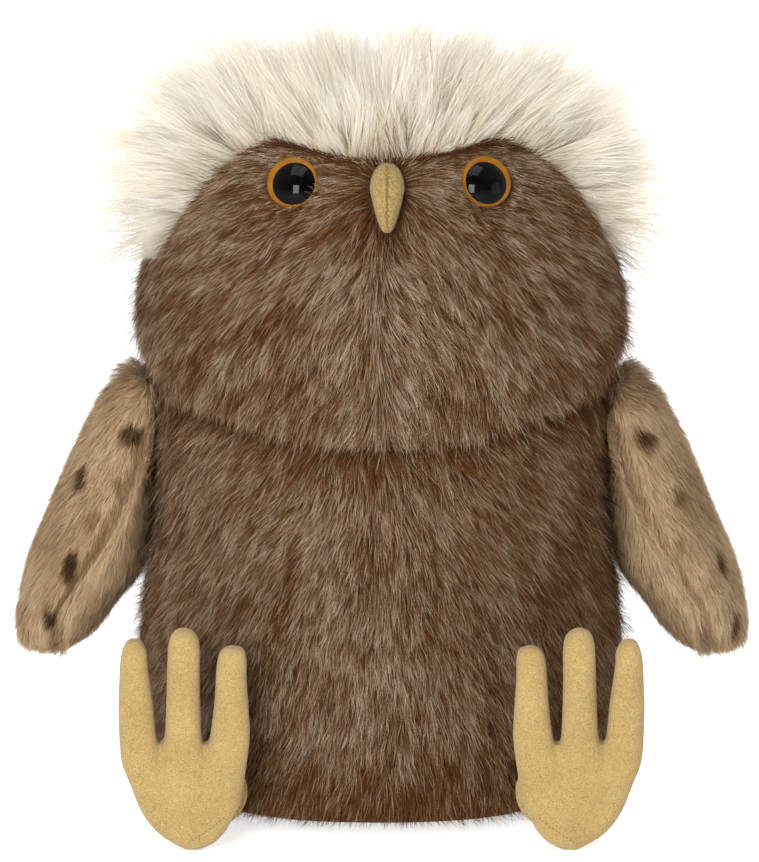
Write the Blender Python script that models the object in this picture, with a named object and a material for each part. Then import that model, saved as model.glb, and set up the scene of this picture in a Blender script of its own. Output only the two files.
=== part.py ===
"""Plush owl: a stuffed body with a turning head, two lifting wings and two swinging legs.

Metres, +Z up. The face looks along -Y and +X is the viewer's right. The origin is the middle of
the flat base that the owl sits on. The solids are the shape that the pile of the cloth fills.
"""

import math

import bmesh
import bpy
import numpy
from mathutils import Matrix, Vector

# Clearances between pieces that touch
SEAM_GAP = 0.0003
FILLING_GAP = 0.0013
NECK_GAP = 0.0005

# Torso
TORSO_HEIGHT = 0.165
TORSO_HALF_WIDTH = 0.086
TORSO_FRONT_DEPTH = 0.0715
TORSO_BACK_DEPTH = 0.070
TORSO_CLOTH = 0.0042
TORSO_POWER = 2.2
POUCH_HEIGHT = 0.022
# Height, half width, front depth and back depth of the torso, as shares of its sizes
TORSO_SHARES = (
    (0.000, 0.700, 0.700, 0.715),
    (0.014, 0.795, 0.800, 0.815),
    (0.048, 0.880, 0.875, 0.890),
    (0.109, 0.948, 0.938, 0.945),
    (0.212, 0.988, 0.980, 0.985),
    (0.333, 1.000, 1.000, 1.000),
    (0.455, 0.988, 1.000, 1.000),
    (0.576, 0.955, 0.988, 0.985),
    (0.685, 0.934, 0.975, 0.960),
    (0.800, 0.936, 0.958, 0.943),
    (0.909, 0.942, 0.924, 0.928),
    (1.000, 0.930, 0.880, 0.886),
)

# Neck: head and torso meet on a ball, so that the head can twist
NECK_OUT = 0.034
NECK_RADIUS = TORSO_HALF_WIDTH + NECK_OUT
NECK_DEPTH = 0.044

# Head: its lowest row lies below the torso's top, and it stands out past the torso
HEAD_SINK = 0.027
HEAD_OUT_SIDE = 0.0015
HEAD_OUT_FRONT = 0.0065
HEAD_OUT_BACK = 0.002
HEAD_BOTTOM_HEIGHT = TORSO_HEIGHT - HEAD_SINK
HEAD_HEIGHT = 0.1185
HEAD_HALF_WIDTH = TORSO_HALF_WIDTH + HEAD_OUT_SIDE
HEAD_FRONT_DEPTH = TORSO_FRONT_DEPTH + HEAD_OUT_FRONT
HEAD_BACK_DEPTH = TORSO_BACK_DEPTH + HEAD_OUT_BACK
HEAD_CLOTH = 0.0045
HEAD_POWER = 2.35
# Height above the head's bottom, half width, front depth and back depth, as shares
HEAD_SHARES = (
    (0.000, 0.834, 0.821, 0.889),
    (0.118, 0.908, 0.916, 0.953),
    (0.270, 0.988, 0.985, 0.990),
    (0.414, 0.990, 1.000, 1.000),
    (0.565, 0.962, 0.978, 0.986),
    (0.692, 0.934, 0.940, 0.951),
    (0.802, 0.883, 0.888, 0.893),
    (0.886, 0.815, 0.818, 0.812),
    (0.945, 0.715, 0.722, 0.700),
    (0.983, 0.510, 0.520, 0.505),
    (0.996, 0.255, 0.260, 0.255),
    (1.000, 0.000, 0.000, 0.000),
)

# Crest: long white pile over the top of the head, with heights above the head's bottom
BROW_DIP_RISE = 0.105
BROW_PEAK_RISE = 0.1115
BROW_SIDE_RISE = 0.062
CREST_BACK_RISE = 0.076
BROW_PEAK_TURN = math.radians(30)
BROW_SIDE_TURN = math.radians(82)
CREST_EDGE_PILE = 0.001
CREST_SIDE_PILE = 0.004
CREST_TOP_PILE = 0.018
CREST_CENTRE_RISE = 0.052
CREST_RISE_SHARE = 0.32
CREST_LOW_SLOPE = 0.25
CREST_FULL_SLOPE = 0.64

# Eyes: an amber disc with a shank, a black dome on it and a washer behind the face cloth
FACE_SHIFT = 0.002
EYE_SHIFT = 0.0029
EYE_SPACING = 0.0690
EYE_RISE = 0.0972
EYE_HEIGHT = HEAD_BOTTOM_HEIGHT + EYE_RISE
EYE_RADIUS = 0.0092
EYE_DISC = 0.0034
EYE_BEVEL_SHARE = 0.25
EYE_SEAT_DEPTH = 0.0032
EYE_SEAT_MARGIN = 0.0004
PUPIL_RADIUS = 0.0077
PUPIL_DOME = 0.0027
PUPIL_SHIFT = 0.0009
SHANK_RADIUS = 0.0024
SHANK_LENGTH = 0.0105
WASHER_RADIUS = 0.0085
WASHER_THICKNESS = 0.0015
POCKET_MARGIN = 0.0008

# Beak
BEAK_WIDTH = 0.0124
BEAK_LENGTH = 0.0238
BEAK_PROUD = 0.0085
BEAK_TOP_RISE = 0.1042
BEAK_TOP_HEIGHT = HEAD_BOTTOM_HEIGHT + BEAK_TOP_RISE
BEAK_CLOTH = 0.0014
BEAK_EDGE = 0.0004
BEAK_WIDEST_SHARE = 0.38
BEAK_TAPER_POWER = 1.6

# Wings
WING_KNUCKLE_RADIUS = 0.0055
WING_ROOT_OUT = 0.0095
WING_HINGE_DROP = 0.013
WING_HINGE_HEIGHT = TORSO_HEIGHT - WING_HINGE_DROP
WING_LENGTH = 0.1005
WING_THICKNESS = 0.0375
WING_CHORD = 0.076
WING_SWING_OUT = 0.0335
WING_CENTRE_Y = 0.006
WING_SWEEP_BACK = 0.010
WING_CLOTH = 0.0026
ROOT_SEAM_SHARE = 0.08
# Drop below the hinge, thickness, chord, distance from the torso's side and the part of the
# thickness that the lining takes, as shares
WING_SHARES = (
    (0.060, 0.535, 0.600, 0.000, 0.08),
    (0.170, 0.705, 0.730, 0.004, 0.10),
    (0.280, 0.840, 0.850, 0.010, 0.18),
    (0.460, 1.010, 0.985, 0.014, 0.35),
    (0.650, 1.130, 1.000, 0.030, 0.50),
    (0.790, 0.960, 0.925, 0.270, 0.54),
    (0.900, 0.780, 0.760, 0.490, 0.42),
    (0.970, 0.470, 0.470, 0.770, 0.28),
    (1.000, 0.000, 0.000, 0.930, 0.28),
)
ROOT_CHORD_SHARE = 0.48
ROOT_CAP_SHARE = 0.40

# Legs and feet
HIP_RADIUS = 0.012
HIP_INWARD = 0.025
HIP_X = TORSO_HALF_WIDTH - HIP_INWARD
HIP_HEIGHT = 0.0155
ANKLE_RADIUS = 0.0135
FOOT_OUTWARD = 0.0087
FOOT_X = HIP_X + FOOT_OUTWARD
FOOT_WIDTH = 0.0466
FOOT_HEIGHT = 0.0793
FOOT_THICKNESS = 0.0145
FOOT_GAP = 0.0190
SOLE_CLOTH = 0.0044
FOOT_CLOTH = 0.0022
FOOT_ROUNDING = 0.0036
SOLE_BEVEL_SHARES = (0.35, 0.22)
SOLE_FULL_SHARE = 0.8
UPPER_BEVEL_SHARE = 0.3
HOLLOW_BEVEL_SHARE = 0.25
ANKLE_INWARD = 0.0087
ANKLE_HEIGHT = 0.0195
# Outline of a foot seen from the front, from its heel round the three toes, as shares
FOOT_OUTLINE_SHARES = (
    (0.588, 0.000),
    (0.496, 0.007),
    (0.312, 0.072),
    (0.181, 0.167),
    (0.085, 0.306),
    (0.019, 0.419),
    (0.002, 0.631),
    (0.008, 0.761),
    (0.019, 0.869),
    (0.062, 0.939),
    (0.119, 0.950),
    (0.173, 0.941),
    (0.219, 0.892),
    (0.224, 0.829),
    (0.242, 0.757),
    (0.265, 0.658),
    (0.288, 0.518),
    (0.319, 0.468),
    (0.350, 0.518),
    (0.362, 0.631),
    (0.369, 0.770),
    (0.381, 0.923),
    (0.419, 0.982),
    (0.504, 1.000),
    (0.588, 0.973),
    (0.619, 0.910),
    (0.619, 0.770),
    (0.623, 0.631),
    (0.635, 0.505),
    (0.665, 0.455),
    (0.696, 0.518),
    (0.727, 0.658),
    (0.747, 0.829),
    (0.773, 0.892),
    (0.819, 0.914),
    (0.873, 0.920),
    (0.950, 0.905),
    (0.973, 0.856),
    (0.973, 0.770),
    (0.988, 0.631),
    (0.996, 0.505),
    (0.965, 0.360),
    (0.927, 0.221),
    (0.858, 0.135),
    (0.804, 0.081),
    (0.719, 0.032),
)

# Fineness of the meshes
TURNS = 40
QUARTER = TURNS // 4
TORSO_ROWS = 9
HEAD_ROWS = 8
CREST_ROWS = 6
FILLING_ROWS = 8
DISH_ROWS = 4
ROUND_STEPS = 20
WING_COLUMNS = 10
CAP_STEPS = 4
OUTLINE_STEPS = 1
BEAK_RINGS = 4
BEAK_STEPS = 8
SLOPE_STEP_SHARE = 0.002
SEARCH_STEPS = 44
HIP_SEARCH_TURNS = 120
HIP_SEARCH_ROWS = 80
HIP_SEARCH_SHARE = 4
SMOOTH_ANGLE = math.radians(50)
WELD = 1e-7


class Finish:
    """Colour and surface of one kind of cloth, filling or plastic."""

    def __init__(self, name, colour, roughness):
        self.material = bpy.data.materials.new(name)
        self.material.use_nodes = True
        shader = self.material.node_tree.nodes["Principled BSDF"]
        shader.inputs["Base Color"].default_value = (*colour, 1.0)
        shader.inputs["Roughness"].default_value = roughness
        shader.inputs["Metallic"].default_value = 0.0
        self.material.diffuse_color = (*colour, 1.0)


class Form:
    """Stuffed form with a rounded outline at each height, given by rows of sizes.

    Each row holds the height, the half width, the front depth and the back depth.
    """

    def __init__(self, rows, power):
        self.rows = rows
        self.last = len(rows) - 1
        self.power = power

    def row(self, place):
        """The four sizes at a place between the rows, on a smooth curve through them."""
        place = min(max(place, 0.0), float(self.last))
        index = min(int(place), self.last - 1)
        share = place - index
        before = self.rows[max(index - 1, 0)]
        start = self.rows[index]
        end = self.rows[index + 1]
        after = self.rows[min(index + 2, self.last)]
        return tuple(smooth_between(*four, share) for four in zip(before, start, end, after))

    def place_at(self, height):
        """The place between the rows at which the form reaches a height."""
        low, high = 0.0, float(self.last)
        for _ in range(SEARCH_STEPS):
            middle = (low + high) / 2
            if self.row(middle)[0] < height:
                low = middle
            else:
                high = middle
        return (low + high) / 2

    def outward(self, place):
        """Direction out of the form in its profile: sideways and upward parts."""
        below = self.row(place - SLOPE_STEP_SHARE)
        above = self.row(place + SLOPE_STEP_SHARE)
        sizes = len(above) - 1
        wider = (sum(above[1:]) - sum(below[1:])) / sizes
        higher = above[0] - below[0]
        length = math.hypot(wider, higher)
        return higher / length, -wider / length

    def point(self, turn, place, inset=0.0):
        """Point on the form, or below its surface by the inset. Turn 0 is the front."""
        height, width, front, back = self.row(place)
        sideways, upward = self.outward(place)
        width = max(width - inset * sideways, 0.0)
        depth = front if math.cos(turn) > 0 else back
        depth = max(depth - inset * sideways, 0.0)
        power = 2 / self.power
        x = width * signed_power(math.sin(turn), power)
        y = -depth * signed_power(math.cos(turn), power)
        return Vector((x, y, height - inset * upward))

    def front_y(self, x, height):
        """Where the front of the form lies at a sideways place and a height."""
        _, width, front, _ = self.row(self.place_at(height))
        share = max(1 - (abs(x) / width) ** self.power, 0.0)
        return -front * share ** (1 / self.power)

    def meet_ball(self, turn, centre, radius, inset, highest):
        """Place at which the form's side runs into a ball, up to the highest place."""
        low, high = 0.0, float(highest)
        for _ in range(SEARCH_STEPS):
            middle = (low + high) / 2
            if (self.point(turn, middle, inset) - centre).length > radius:
                low = middle
            else:
                high = middle
        return (low + high) / 2


def smooth_between(before, start, end, after, share):
    """Value on the smooth curve through four values, between the middle two."""
    slope = end - before
    bend = 2 * before - 5 * start + 4 * end - after
    twist = 3 * start - before - 3 * end + after
    return start + (slope * share + bend * share**2 + twist * share**3) / 2


def signed_power(value, power):
    """Power of a number's size, with its sign kept."""
    return math.copysign(abs(value) ** power, value)


def ease(share):
    """Smooth step from 0 to 1."""
    share = min(max(share, 0.0), 1.0)
    return share * share * (3 - 2 * share)


def blend(start, end, share):
    """Value part of the way from start to end."""
    return start + (end - start) * share


def steps(start, end, count):
    """Evenly spaced values from start to end, count spaces long."""
    return [blend(start, end, i / count) for i in range(count + 1)]


def add_faces(mesh, grid, wrap, flip):
    """Faces over a grid of vertices, closed round its columns if wrap is set."""
    columns = len(grid[0])
    for upper, lower in zip(grid[1:], grid[:-1]):
        for j in range(columns if wrap else columns - 1):
            k = (j + 1) % columns
            corners = [lower[j], lower[k], upper[k], upper[j]]
            if flip:
                corners.reverse()
            mesh.faces.new(corners)


def finish_mesh(mesh):
    """Weld what meets in a point, split long faces and turn all faces outward."""
    bmesh.ops.remove_doubles(mesh, verts=mesh.verts, dist=WELD)
    bmesh.ops.dissolve_degenerate(mesh, edges=mesh.edges, dist=WELD)
    bmesh.ops.recalc_face_normals(mesh, faces=mesh.faces)
    bmesh.ops.triangulate(mesh, faces=mesh.faces)
    return mesh


def shell(outer, inner, wrap=False):
    """Closed cloth between an outer and an inner grid of points."""
    mesh = bmesh.new()
    skins = []
    for grid in (outer, inner):
        skins.append([[mesh.verts.new(point) for point in row] for row in grid])
    outside, inside = skins
    add_faces(mesh, outside, wrap, False)
    add_faces(mesh, inside, wrap, True)
    add_faces(mesh, [inside[0], outside[0]], wrap, False)
    add_faces(mesh, [outside[-1], inside[-1]], wrap, False)
    if not wrap:
        add_faces(mesh, [[row[0] for row in outside], [row[0] for row in inside]], False, False)
        add_faces(mesh, [[row[-1] for row in inside], [row[-1] for row in outside]], False, False)
    return finish_mesh(mesh)


def loft(rings):
    """Closed solid through rings of points, with its two ends filled."""
    mesh = bmesh.new()
    grid = [[mesh.verts.new(point) for point in ring] for ring in rings]
    add_faces(mesh, grid, True, False)
    for ring in (grid[0], grid[-1]):
        mesh.faces.new(ring)
    return finish_mesh(mesh)


def turned(profile, steps_round):
    """Closed solid turned about +Z from a profile of radius and height pairs."""
    rings = []
    for radius, height in profile:
        ring = []
        for i in range(steps_round):
            angle = math.tau * i / steps_round
            ring.append(Vector((radius * math.cos(angle), radius * math.sin(angle), height)))
        rings.append(ring)
    return rings


def tube_wall(profile, steps_round):
    """Closed ring turned about +Z from a closed profile that doesn't meet the axis."""
    mesh = bmesh.new()
    grid = [[mesh.verts.new(point) for point in ring] for ring in turned(profile, steps_round)]
    add_faces(mesh, [*grid, grid[0]], True, False)
    return finish_mesh(mesh)


def pole_solid(profile, steps_round):
    """Closed solid turned about +Z whose profile starts and ends on the axis."""
    mesh = bmesh.new()
    grid = [[mesh.verts.new(point) for point in ring] for ring in turned(profile, steps_round)]
    add_faces(mesh, grid, True, False)
    return finish_mesh(mesh)


def add_piece(name, mesh, finish, pivot):
    """Object for one piece, hung on the empty that marks its joint's axis."""
    data = bpy.data.meshes.new(name)
    bmesh.ops.translate(mesh, verts=mesh.verts, vec=-pivot.location)
    mesh.to_mesh(data)
    mesh.free()
    data.shade_smooth()
    data.set_sharp_from_angle(angle=SMOOTH_ANGLE)
    piece = bpy.data.objects.new(name, data)
    bpy.context.scene.collection.objects.link(piece)
    piece.parent = pivot
    if finish is not None:
        data.materials.append(finish.material)
    return piece


def add_pivot(name, place):
    """Empty on a joint's axis, which carries the pieces that move together."""
    pivot = bpy.data.objects.new(name, None)
    pivot.location = place
    bpy.context.scene.collection.objects.link(pivot)
    return pivot


def cut(piece, cutter):
    """Cut a hidden shape out of a piece."""
    cutter.hide_render = True
    cutter.display_type = "WIRE"
    modifier = piece.modifiers.new(cutter.name, "BOOLEAN")
    modifier.object = cutter
    modifier.operation = "DIFFERENCE"
    modifier.solver = "EXACT"


def torso_form():
    """The torso's outer shape."""
    sizes = (TORSO_HEIGHT, TORSO_HALF_WIDTH, TORSO_FRONT_DEPTH, TORSO_BACK_DEPTH)
    rows = [tuple(s * size for s, size in zip(shares, sizes)) for shares in TORSO_SHARES]
    return Form(rows, TORSO_POWER)


def head_form():
    """The head's outer shape without its crest."""
    sizes = (HEAD_HEIGHT, HEAD_HALF_WIDTH, HEAD_FRONT_DEPTH, HEAD_BACK_DEPTH)
    rows = []
    for shares in HEAD_SHARES:
        row = [s * size for s, size in zip(shares, sizes)]
        row[0] += HEAD_BOTTOM_HEIGHT
        rows.append(tuple(row))
    return Form(rows, HEAD_POWER)


def neck_centre():
    """Centre of the ball on which head and torso meet."""
    return Vector((0, 0, TORSO_HEIGHT - NECK_DEPTH + NECK_RADIUS))


def dish(rim, centre, radius):
    """Rings from a rim inward over the bottom of the neck's ball."""
    rings = []
    for share in steps(1.0, 0.0, DISH_ROWS)[1:-1]:
        ring = []
        for point in rim:
            x, y = point.x * share, point.y * share
            drop = math.sqrt(radius**2 - x**2 - y**2)
            ring.append(Vector((x, y, centre.z - drop)))
        rings.append(ring)
    return rings


class Torso:
    """Body of the owl: four fur cloths, a base cloth, the filling and a pouch of pellets."""

    def __init__(self, finishes):
        self.form = torso_form()
        self.finishes = finishes
        self.pivot = add_pivot("torso_seat", (0, 0, 0))

    def rim(self, turn, inset, gap):
        """Place at which the torso's side meets the neck's ball, a gap away from the ball."""
        return self.form.meet_ball(turn, neck_centre(), NECK_RADIUS + gap, inset, self.form.last)

    def grid(self, turns, inset, count):
        """Grid of points on the torso's side."""
        columns = []
        for turn in turns:
            places = steps(0.0, self.rim(turn, inset, NECK_GAP), count)
            columns.append([self.form.point(turn, place, inset) for place in places])
        return [list(row) for row in zip(*columns)]

    def cloth(self, name, start, end, finish):
        """One fur cloth between two seams."""
        margin = SEAM_GAP / 2 / TORSO_FRONT_DEPTH
        turns = steps(start, end, QUARTER)
        turns[0] += margin
        turns[-1] -= margin
        outer = self.grid(turns, 0.0, TORSO_ROWS)
        inner = self.grid(turns, TORSO_CLOTH, TORSO_ROWS)
        add_piece(name, shell(outer, inner), finish, self.pivot)

    def ring(self, place, inset):
        """Ring of points round the torso."""
        return [self.form.point(math.tau * i / TURNS, place, inset) for i in range(TURNS)]

    def build(self):
        """Add all pieces of the torso."""
        fur = self.finishes["brown_fur"]
        half = math.pi / 2
        self.cloth("belly_panel_right", 0.0, half, fur)
        self.cloth("back_panel_right", half, math.pi, fur)
        self.cloth("back_panel_left", math.pi, math.pi + half, fur)
        self.cloth("belly_panel_left", math.pi + half, math.tau, fur)
        self.add_base(fur)
        self.add_filling()

    def add_base(self, fur):
        """Flat base cloth inside the lower edge of the four fur cloths."""
        edge = self.ring(0.0, 0.0)
        top = self.ring(0.0, TORSO_CLOTH)
        rings = []
        for ring in (edge, top):
            shrunk = []
            for point in ring:
                reach = math.hypot(point.x, point.y)
                share = (reach - SEAM_GAP) / reach
                shrunk.append(Vector((point.x * share, point.y * share, point.z)))
            rings.append(shrunk)
        for point in rings[0]:
            point.z = 0
        height = min(point.z for point in rings[1])
        for point in rings[1]:
            point.z = height
        self.base_top = height
        add_piece("base_panel", loft(rings), fur, self.pivot)

    def add_filling(self):
        """Pouch of pellets on the base and fibre filling above it."""
        inset = TORSO_CLOTH + FILLING_GAP
        bottom = self.base_top + SEAM_GAP
        start = self.form.place_at(0.0)
        while self.form.point(0.0, start, inset).z < bottom:
            start += SLOPE_STEP_SHARE
        split = self.form.place_at(POUCH_HEIGHT)
        pouch = [self.ring(place, inset) for place in steps(start, split, CAP_STEPS)]
        level(pouch[0], bottom)
        level(pouch[-1], POUCH_HEIGHT)
        add_piece("bean_pouch", loft(pouch), self.finishes["pouch"], self.pivot)
        grid = []
        gap = NECK_GAP + FILLING_GAP
        for i in range(TURNS):
            turn = math.tau * i / TURNS
            places = steps(split, self.rim(turn, inset, gap), FILLING_ROWS)
            grid.append([self.form.point(turn, place, inset) for place in places])
        rings = [list(row) for row in zip(*grid)]
        level(rings[0], POUCH_HEIGHT + SEAM_GAP)
        rings += dish(rings[-1], neck_centre(), NECK_RADIUS + gap)
        add_piece("torso_stuffing", loft(rings), self.finishes["filling"], self.pivot)


def level(ring, height):
    """Lay a ring of points flat at one height."""
    for point in ring:
        point.z = height


class Head:
    """Head: face cloth, crest cloth, back cloth, filling, eyes and beak."""

    def __init__(self, finishes):
        self.form = head_form()
        self.finishes = finishes
        self.centre = neck_centre()
        self.pivot = add_pivot("head_turn_axis", (0, 0, self.centre.z - NECK_RADIUS))

    def hair_height(self, turn):
        """Height of the crest's lower edge at a turn: an M over the eyes, lower at the sides."""
        turn = abs((turn + math.pi) % math.tau - math.pi)
        if turn < BROW_PEAK_TURN:
            rise = blend(BROW_DIP_RISE, BROW_PEAK_RISE, ease(turn / BROW_PEAK_TURN))
        elif turn < BROW_SIDE_TURN:
            share = (turn - BROW_PEAK_TURN) / (BROW_SIDE_TURN - BROW_PEAK_TURN)
            rise = blend(BROW_PEAK_RISE, BROW_SIDE_RISE, ease(share))
        else:
            share = (turn - BROW_SIDE_TURN) / (math.pi - BROW_SIDE_TURN)
            rise = blend(BROW_SIDE_RISE, CREST_BACK_RISE, ease(share))
        return HEAD_BOTTOM_HEIGHT + rise

    def rim(self, turn, inset):
        """Place at which the head's side meets the neck's ball."""
        return self.form.meet_ball(turn, self.centre, NECK_RADIUS, inset, self.form.last / 2)

    def hair_place(self, turn, offset):
        """Place of the crest's lower edge, moved up or down by a part of the seam's gap."""
        return self.form.place_at(self.hair_height(turn) + offset)

    def cloth(self, name, start, end, finish):
        """Brown cloth from the neck to the crest's edge, between two side seams."""
        margin = SEAM_GAP / 2 / HEAD_FRONT_DEPTH
        turns = steps(start, end, TURNS // 2)
        turns[0] += margin
        turns[-1] -= margin
        grids = []
        for inset in (0.0, HEAD_CLOTH):
            columns = []
            for turn in turns:
                top = self.hair_place(turn, -SEAM_GAP)
                places = steps(self.rim(turn, inset), top, HEAD_ROWS)
                columns.append([self.form.point(turn, place, inset) for place in places])
            grids.append([list(row) for row in zip(*columns)])
        return add_piece(name, shell(*grids), finish, self.pivot)

    def pile_point(self, turn, place, share):
        """Point on the outside of the crest's long pile."""
        skin = self.form.point(turn, place)
        away = (skin - Vector((0, 0, HEAD_BOTTOM_HEIGHT + CREST_CENTRE_RISE))).normalized()
        rise = (away.z - CREST_LOW_SLOPE) / (CREST_FULL_SLOPE - CREST_LOW_SLOPE)
        full = blend(CREST_SIDE_PILE, CREST_TOP_PILE, ease(rise))
        length = blend(CREST_EDGE_PILE, full, ease(share / CREST_RISE_SHARE))
        return skin + away * length

    def add_crest(self):
        """Crest cloth with its long pile, from its lower edge to the top of the head."""
        outer, inner = [], []
        for i in range(TURNS):
            turn = math.tau * i / TURNS
            start = self.hair_place(turn, SEAM_GAP)
            shares = steps(0.0, 1.0, CREST_ROWS)
            places = [blend(start, self.form.last, share) for share in shares]
            pairs = zip(places, shares)
            outer.append([self.pile_point(turn, place, share) for place, share in pairs])
            inner.append([self.form.point(turn, place, HEAD_CLOTH) for place in places])
        outer = [list(row) for row in zip(*outer)]
        inner = [list(row) for row in zip(*inner)]
        for grid in (outer, inner):
            top = sum(grid[-1], Vector()) / TURNS
            grid[-1] = [top.copy() for _ in range(TURNS)]
        mesh = shell(outer, inner, wrap=True)
        add_piece("crest_panel", mesh, self.finishes["white_fur"], self.pivot)

    def add_filling(self):
        """Fibre filling, round below where it turns in the torso's hollow."""
        inset = HEAD_CLOTH + FILLING_GAP
        grid = []
        for i in range(TURNS):
            turn = math.tau * i / TURNS
            places = steps(self.rim(turn, inset), self.form.last - 1, FILLING_ROWS)
            grid.append([self.form.point(turn, place, inset) for place in places])
        rings = [list(row) for row in zip(*grid)]
        rings = dish(rings[0], self.centre, NECK_RADIUS)[::-1] + rings
        return add_piece("head_stuffing", loft(rings), self.finishes["filling"], self.pivot)

    def eye_frame(self, side):
        """Where an eye sits on the face and which way it looks: +Z of the frame is outward."""
        x = EYE_SHIFT + side * EYE_SPACING / 2
        step = EYE_RADIUS / 2
        here = Vector((x, self.form.front_y(x, EYE_HEIGHT), EYE_HEIGHT))
        right = Vector((x + step, self.form.front_y(x + step, EYE_HEIGHT), EYE_HEIGHT))
        low = EYE_HEIGHT - step
        below = Vector((x, self.form.front_y(x, low), low))
        outward = (below - here).cross(right - here).normalized()
        up = Vector((0, 0, 1))
        across = up.cross(outward).normalized()
        up = outward.cross(across)
        frame = Matrix((across, up, outward)).transposed().to_4x4()
        frame.translation = here
        return frame

    def add_eye(self, side, name, face, filling):
        """Eye, its washer, and the seat and the pocket that they need."""
        frame = self.eye_frame(side)
        back = SEAM_GAP - EYE_SEAT_DEPTH
        front = back + EYE_DISC
        bevel = EYE_DISC * EYE_BEVEL_SHARE
        disc = (
            (0, back - SHANK_LENGTH),
            (SHANK_RADIUS, back - SHANK_LENGTH),
            (SHANK_RADIUS, back),
            (EYE_RADIUS - bevel, back),
            (EYE_RADIUS, back + bevel),
            (EYE_RADIUS, front - bevel),
            (EYE_RADIUS - bevel, front),
            (0, front),
        )
        mesh = pole_solid(disc, ROUND_STEPS)
        bmesh.ops.transform(mesh, matrix=frame, verts=mesh.verts)
        add_piece(f"eye_iris_{name}", mesh, self.finishes["amber"], self.pivot)
        base = front + SEAM_GAP
        dome = [(0, base)]
        for angle in steps(0.0, math.pi / 2, CAP_STEPS):
            height = base + bevel / 2 + (PUPIL_DOME - bevel / 2) * math.sin(angle)
            dome.append((PUPIL_RADIUS * math.cos(angle), height))
        dome.insert(1, (PUPIL_RADIUS, base))
        dome[-1] = (0, base + PUPIL_DOME)
        mesh = pole_solid(dome, ROUND_STEPS)
        bmesh.ops.translate(mesh, verts=mesh.verts, vec=(-side * PUPIL_SHIFT, 0, 0))
        bmesh.ops.transform(mesh, matrix=frame, verts=mesh.verts)
        add_piece(f"eye_pupil_{name}", mesh, self.finishes["black"], self.pivot)
        bore = SHANK_RADIUS + SEAM_GAP
        top = -HEAD_CLOTH - SEAM_GAP
        washer = (
            (bore, top - WASHER_THICKNESS),
            (WASHER_RADIUS, top - WASHER_THICKNESS),
            (WASHER_RADIUS, top),
            (bore, top),
        )
        mesh = tube_wall(washer, ROUND_STEPS)
        bmesh.ops.transform(mesh, matrix=frame, verts=mesh.verts)
        add_piece(f"eye_washer_{name}", mesh, self.finishes["nylon"], self.pivot)
        seat_radius = EYE_RADIUS + EYE_SEAT_MARGIN
        overrun = EYE_RADIUS
        pocket_radius = WASHER_RADIUS + POCKET_MARGIN
        seat = (
            (0, -HEAD_CLOTH - overrun),
            (pocket_radius, -HEAD_CLOTH - overrun),
            (pocket_radius, -HEAD_CLOTH),
            (bore, -HEAD_CLOTH),
            (bore, -EYE_SEAT_DEPTH),
            (seat_radius, -EYE_SEAT_DEPTH),
            (seat_radius, overrun),
            (0, overrun),
        )
        mesh = pole_solid(seat, ROUND_STEPS)
        bmesh.ops.transform(mesh, matrix=frame, verts=mesh.verts)
        cut(face, add_piece(f"eye_seat_{name}", mesh, None, self.pivot))
        pocket = (
            (0, back - SHANK_LENGTH - POCKET_MARGIN),
            (pocket_radius, back - SHANK_LENGTH - POCKET_MARGIN),
            (pocket_radius, overrun),
            (0, overrun),
        )
        mesh = pole_solid(pocket, ROUND_STEPS)
        bmesh.ops.transform(mesh, matrix=frame, verts=mesh.verts)
        cut(filling, add_piece(f"eye_pocket_{name}", mesh, None, self.pivot))

    def beak_point(self, angle, share, inset):
        """Point on the beak: share 0 is its ridge and share 1 its edge on the face."""
        widest = BEAK_TOP_HEIGHT - BEAK_LENGTH * BEAK_WIDEST_SHARE
        reach = BEAK_LENGTH * (1 - BEAK_WIDEST_SHARE)
        if math.sin(angle) > 0:
            reach = BEAK_LENGTH * BEAK_WIDEST_SHARE
        slim = 1.0
        if math.sin(angle) < 0:
            slim = 1 - BEAK_WIDEST_SHARE * abs(math.sin(angle)) ** BEAK_TAPER_POWER
        across = (BEAK_WIDTH / 2 * slim - inset) * math.cos(angle) * share
        along = (reach - inset) * math.sin(angle) * share
        x = FACE_SHIFT + across
        height = widest + along
        proud = (BEAK_PROUD - inset) * math.sqrt(max(1 - share**2, 0.0))
        edge = BEAK_EDGE if inset == 0.0 else 0.0
        return Vector((x, self.form.front_y(x, height) - SEAM_GAP - proud - edge, height))

    def add_beak(self):
        """Beak of two sewn halves over a filling."""
        for side, name in ((-1, "left"), (1, "right")):
            grids = []
            for inset in (0.0, BEAK_CLOTH):
                rows = []
                for share in steps(0.0, 1.0, BEAK_RINGS):
                    row = []
                    for angle in steps(math.pi / 2, -math.pi / 2, BEAK_STEPS):
                        point = self.beak_point(angle, share, inset)
                        offset = point.x - FACE_SHIFT + SEAM_GAP / 2
                        point.x = FACE_SHIFT + side * offset
                        row.append(point)
                    rows.append(row)
                grids.append(rows)
            add_piece(f"beak_panel_{name}", shell(*grids), self.finishes["beak_cloth"], self.pivot)
        rings = []
        inset = BEAK_CLOTH + SEAM_GAP
        for share in steps(1.0, 0.0, BEAK_RINGS):
            count = BEAK_STEPS * 2
            angles = [math.tau * i / count for i in range(count)]
            rings.append([self.beak_point(angle, share, inset) for angle in angles])
        mesh = loft(rings[:-1])
        add_piece("beak_stuffing", mesh, self.finishes["filling"], self.pivot)

    def build(self):
        """Add all pieces of the head."""
        fur = self.finishes["brown_fur"]
        half = math.pi / 2
        face = self.cloth("face_panel", -half, half, fur)
        self.cloth("head_back_panel", half, math.pi + half, fur)
        self.add_crest()
        filling = self.add_filling()
        self.add_eye(-1, "left", face, filling)
        self.add_eye(1, "right", face, filling)
        self.add_beak()


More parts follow.
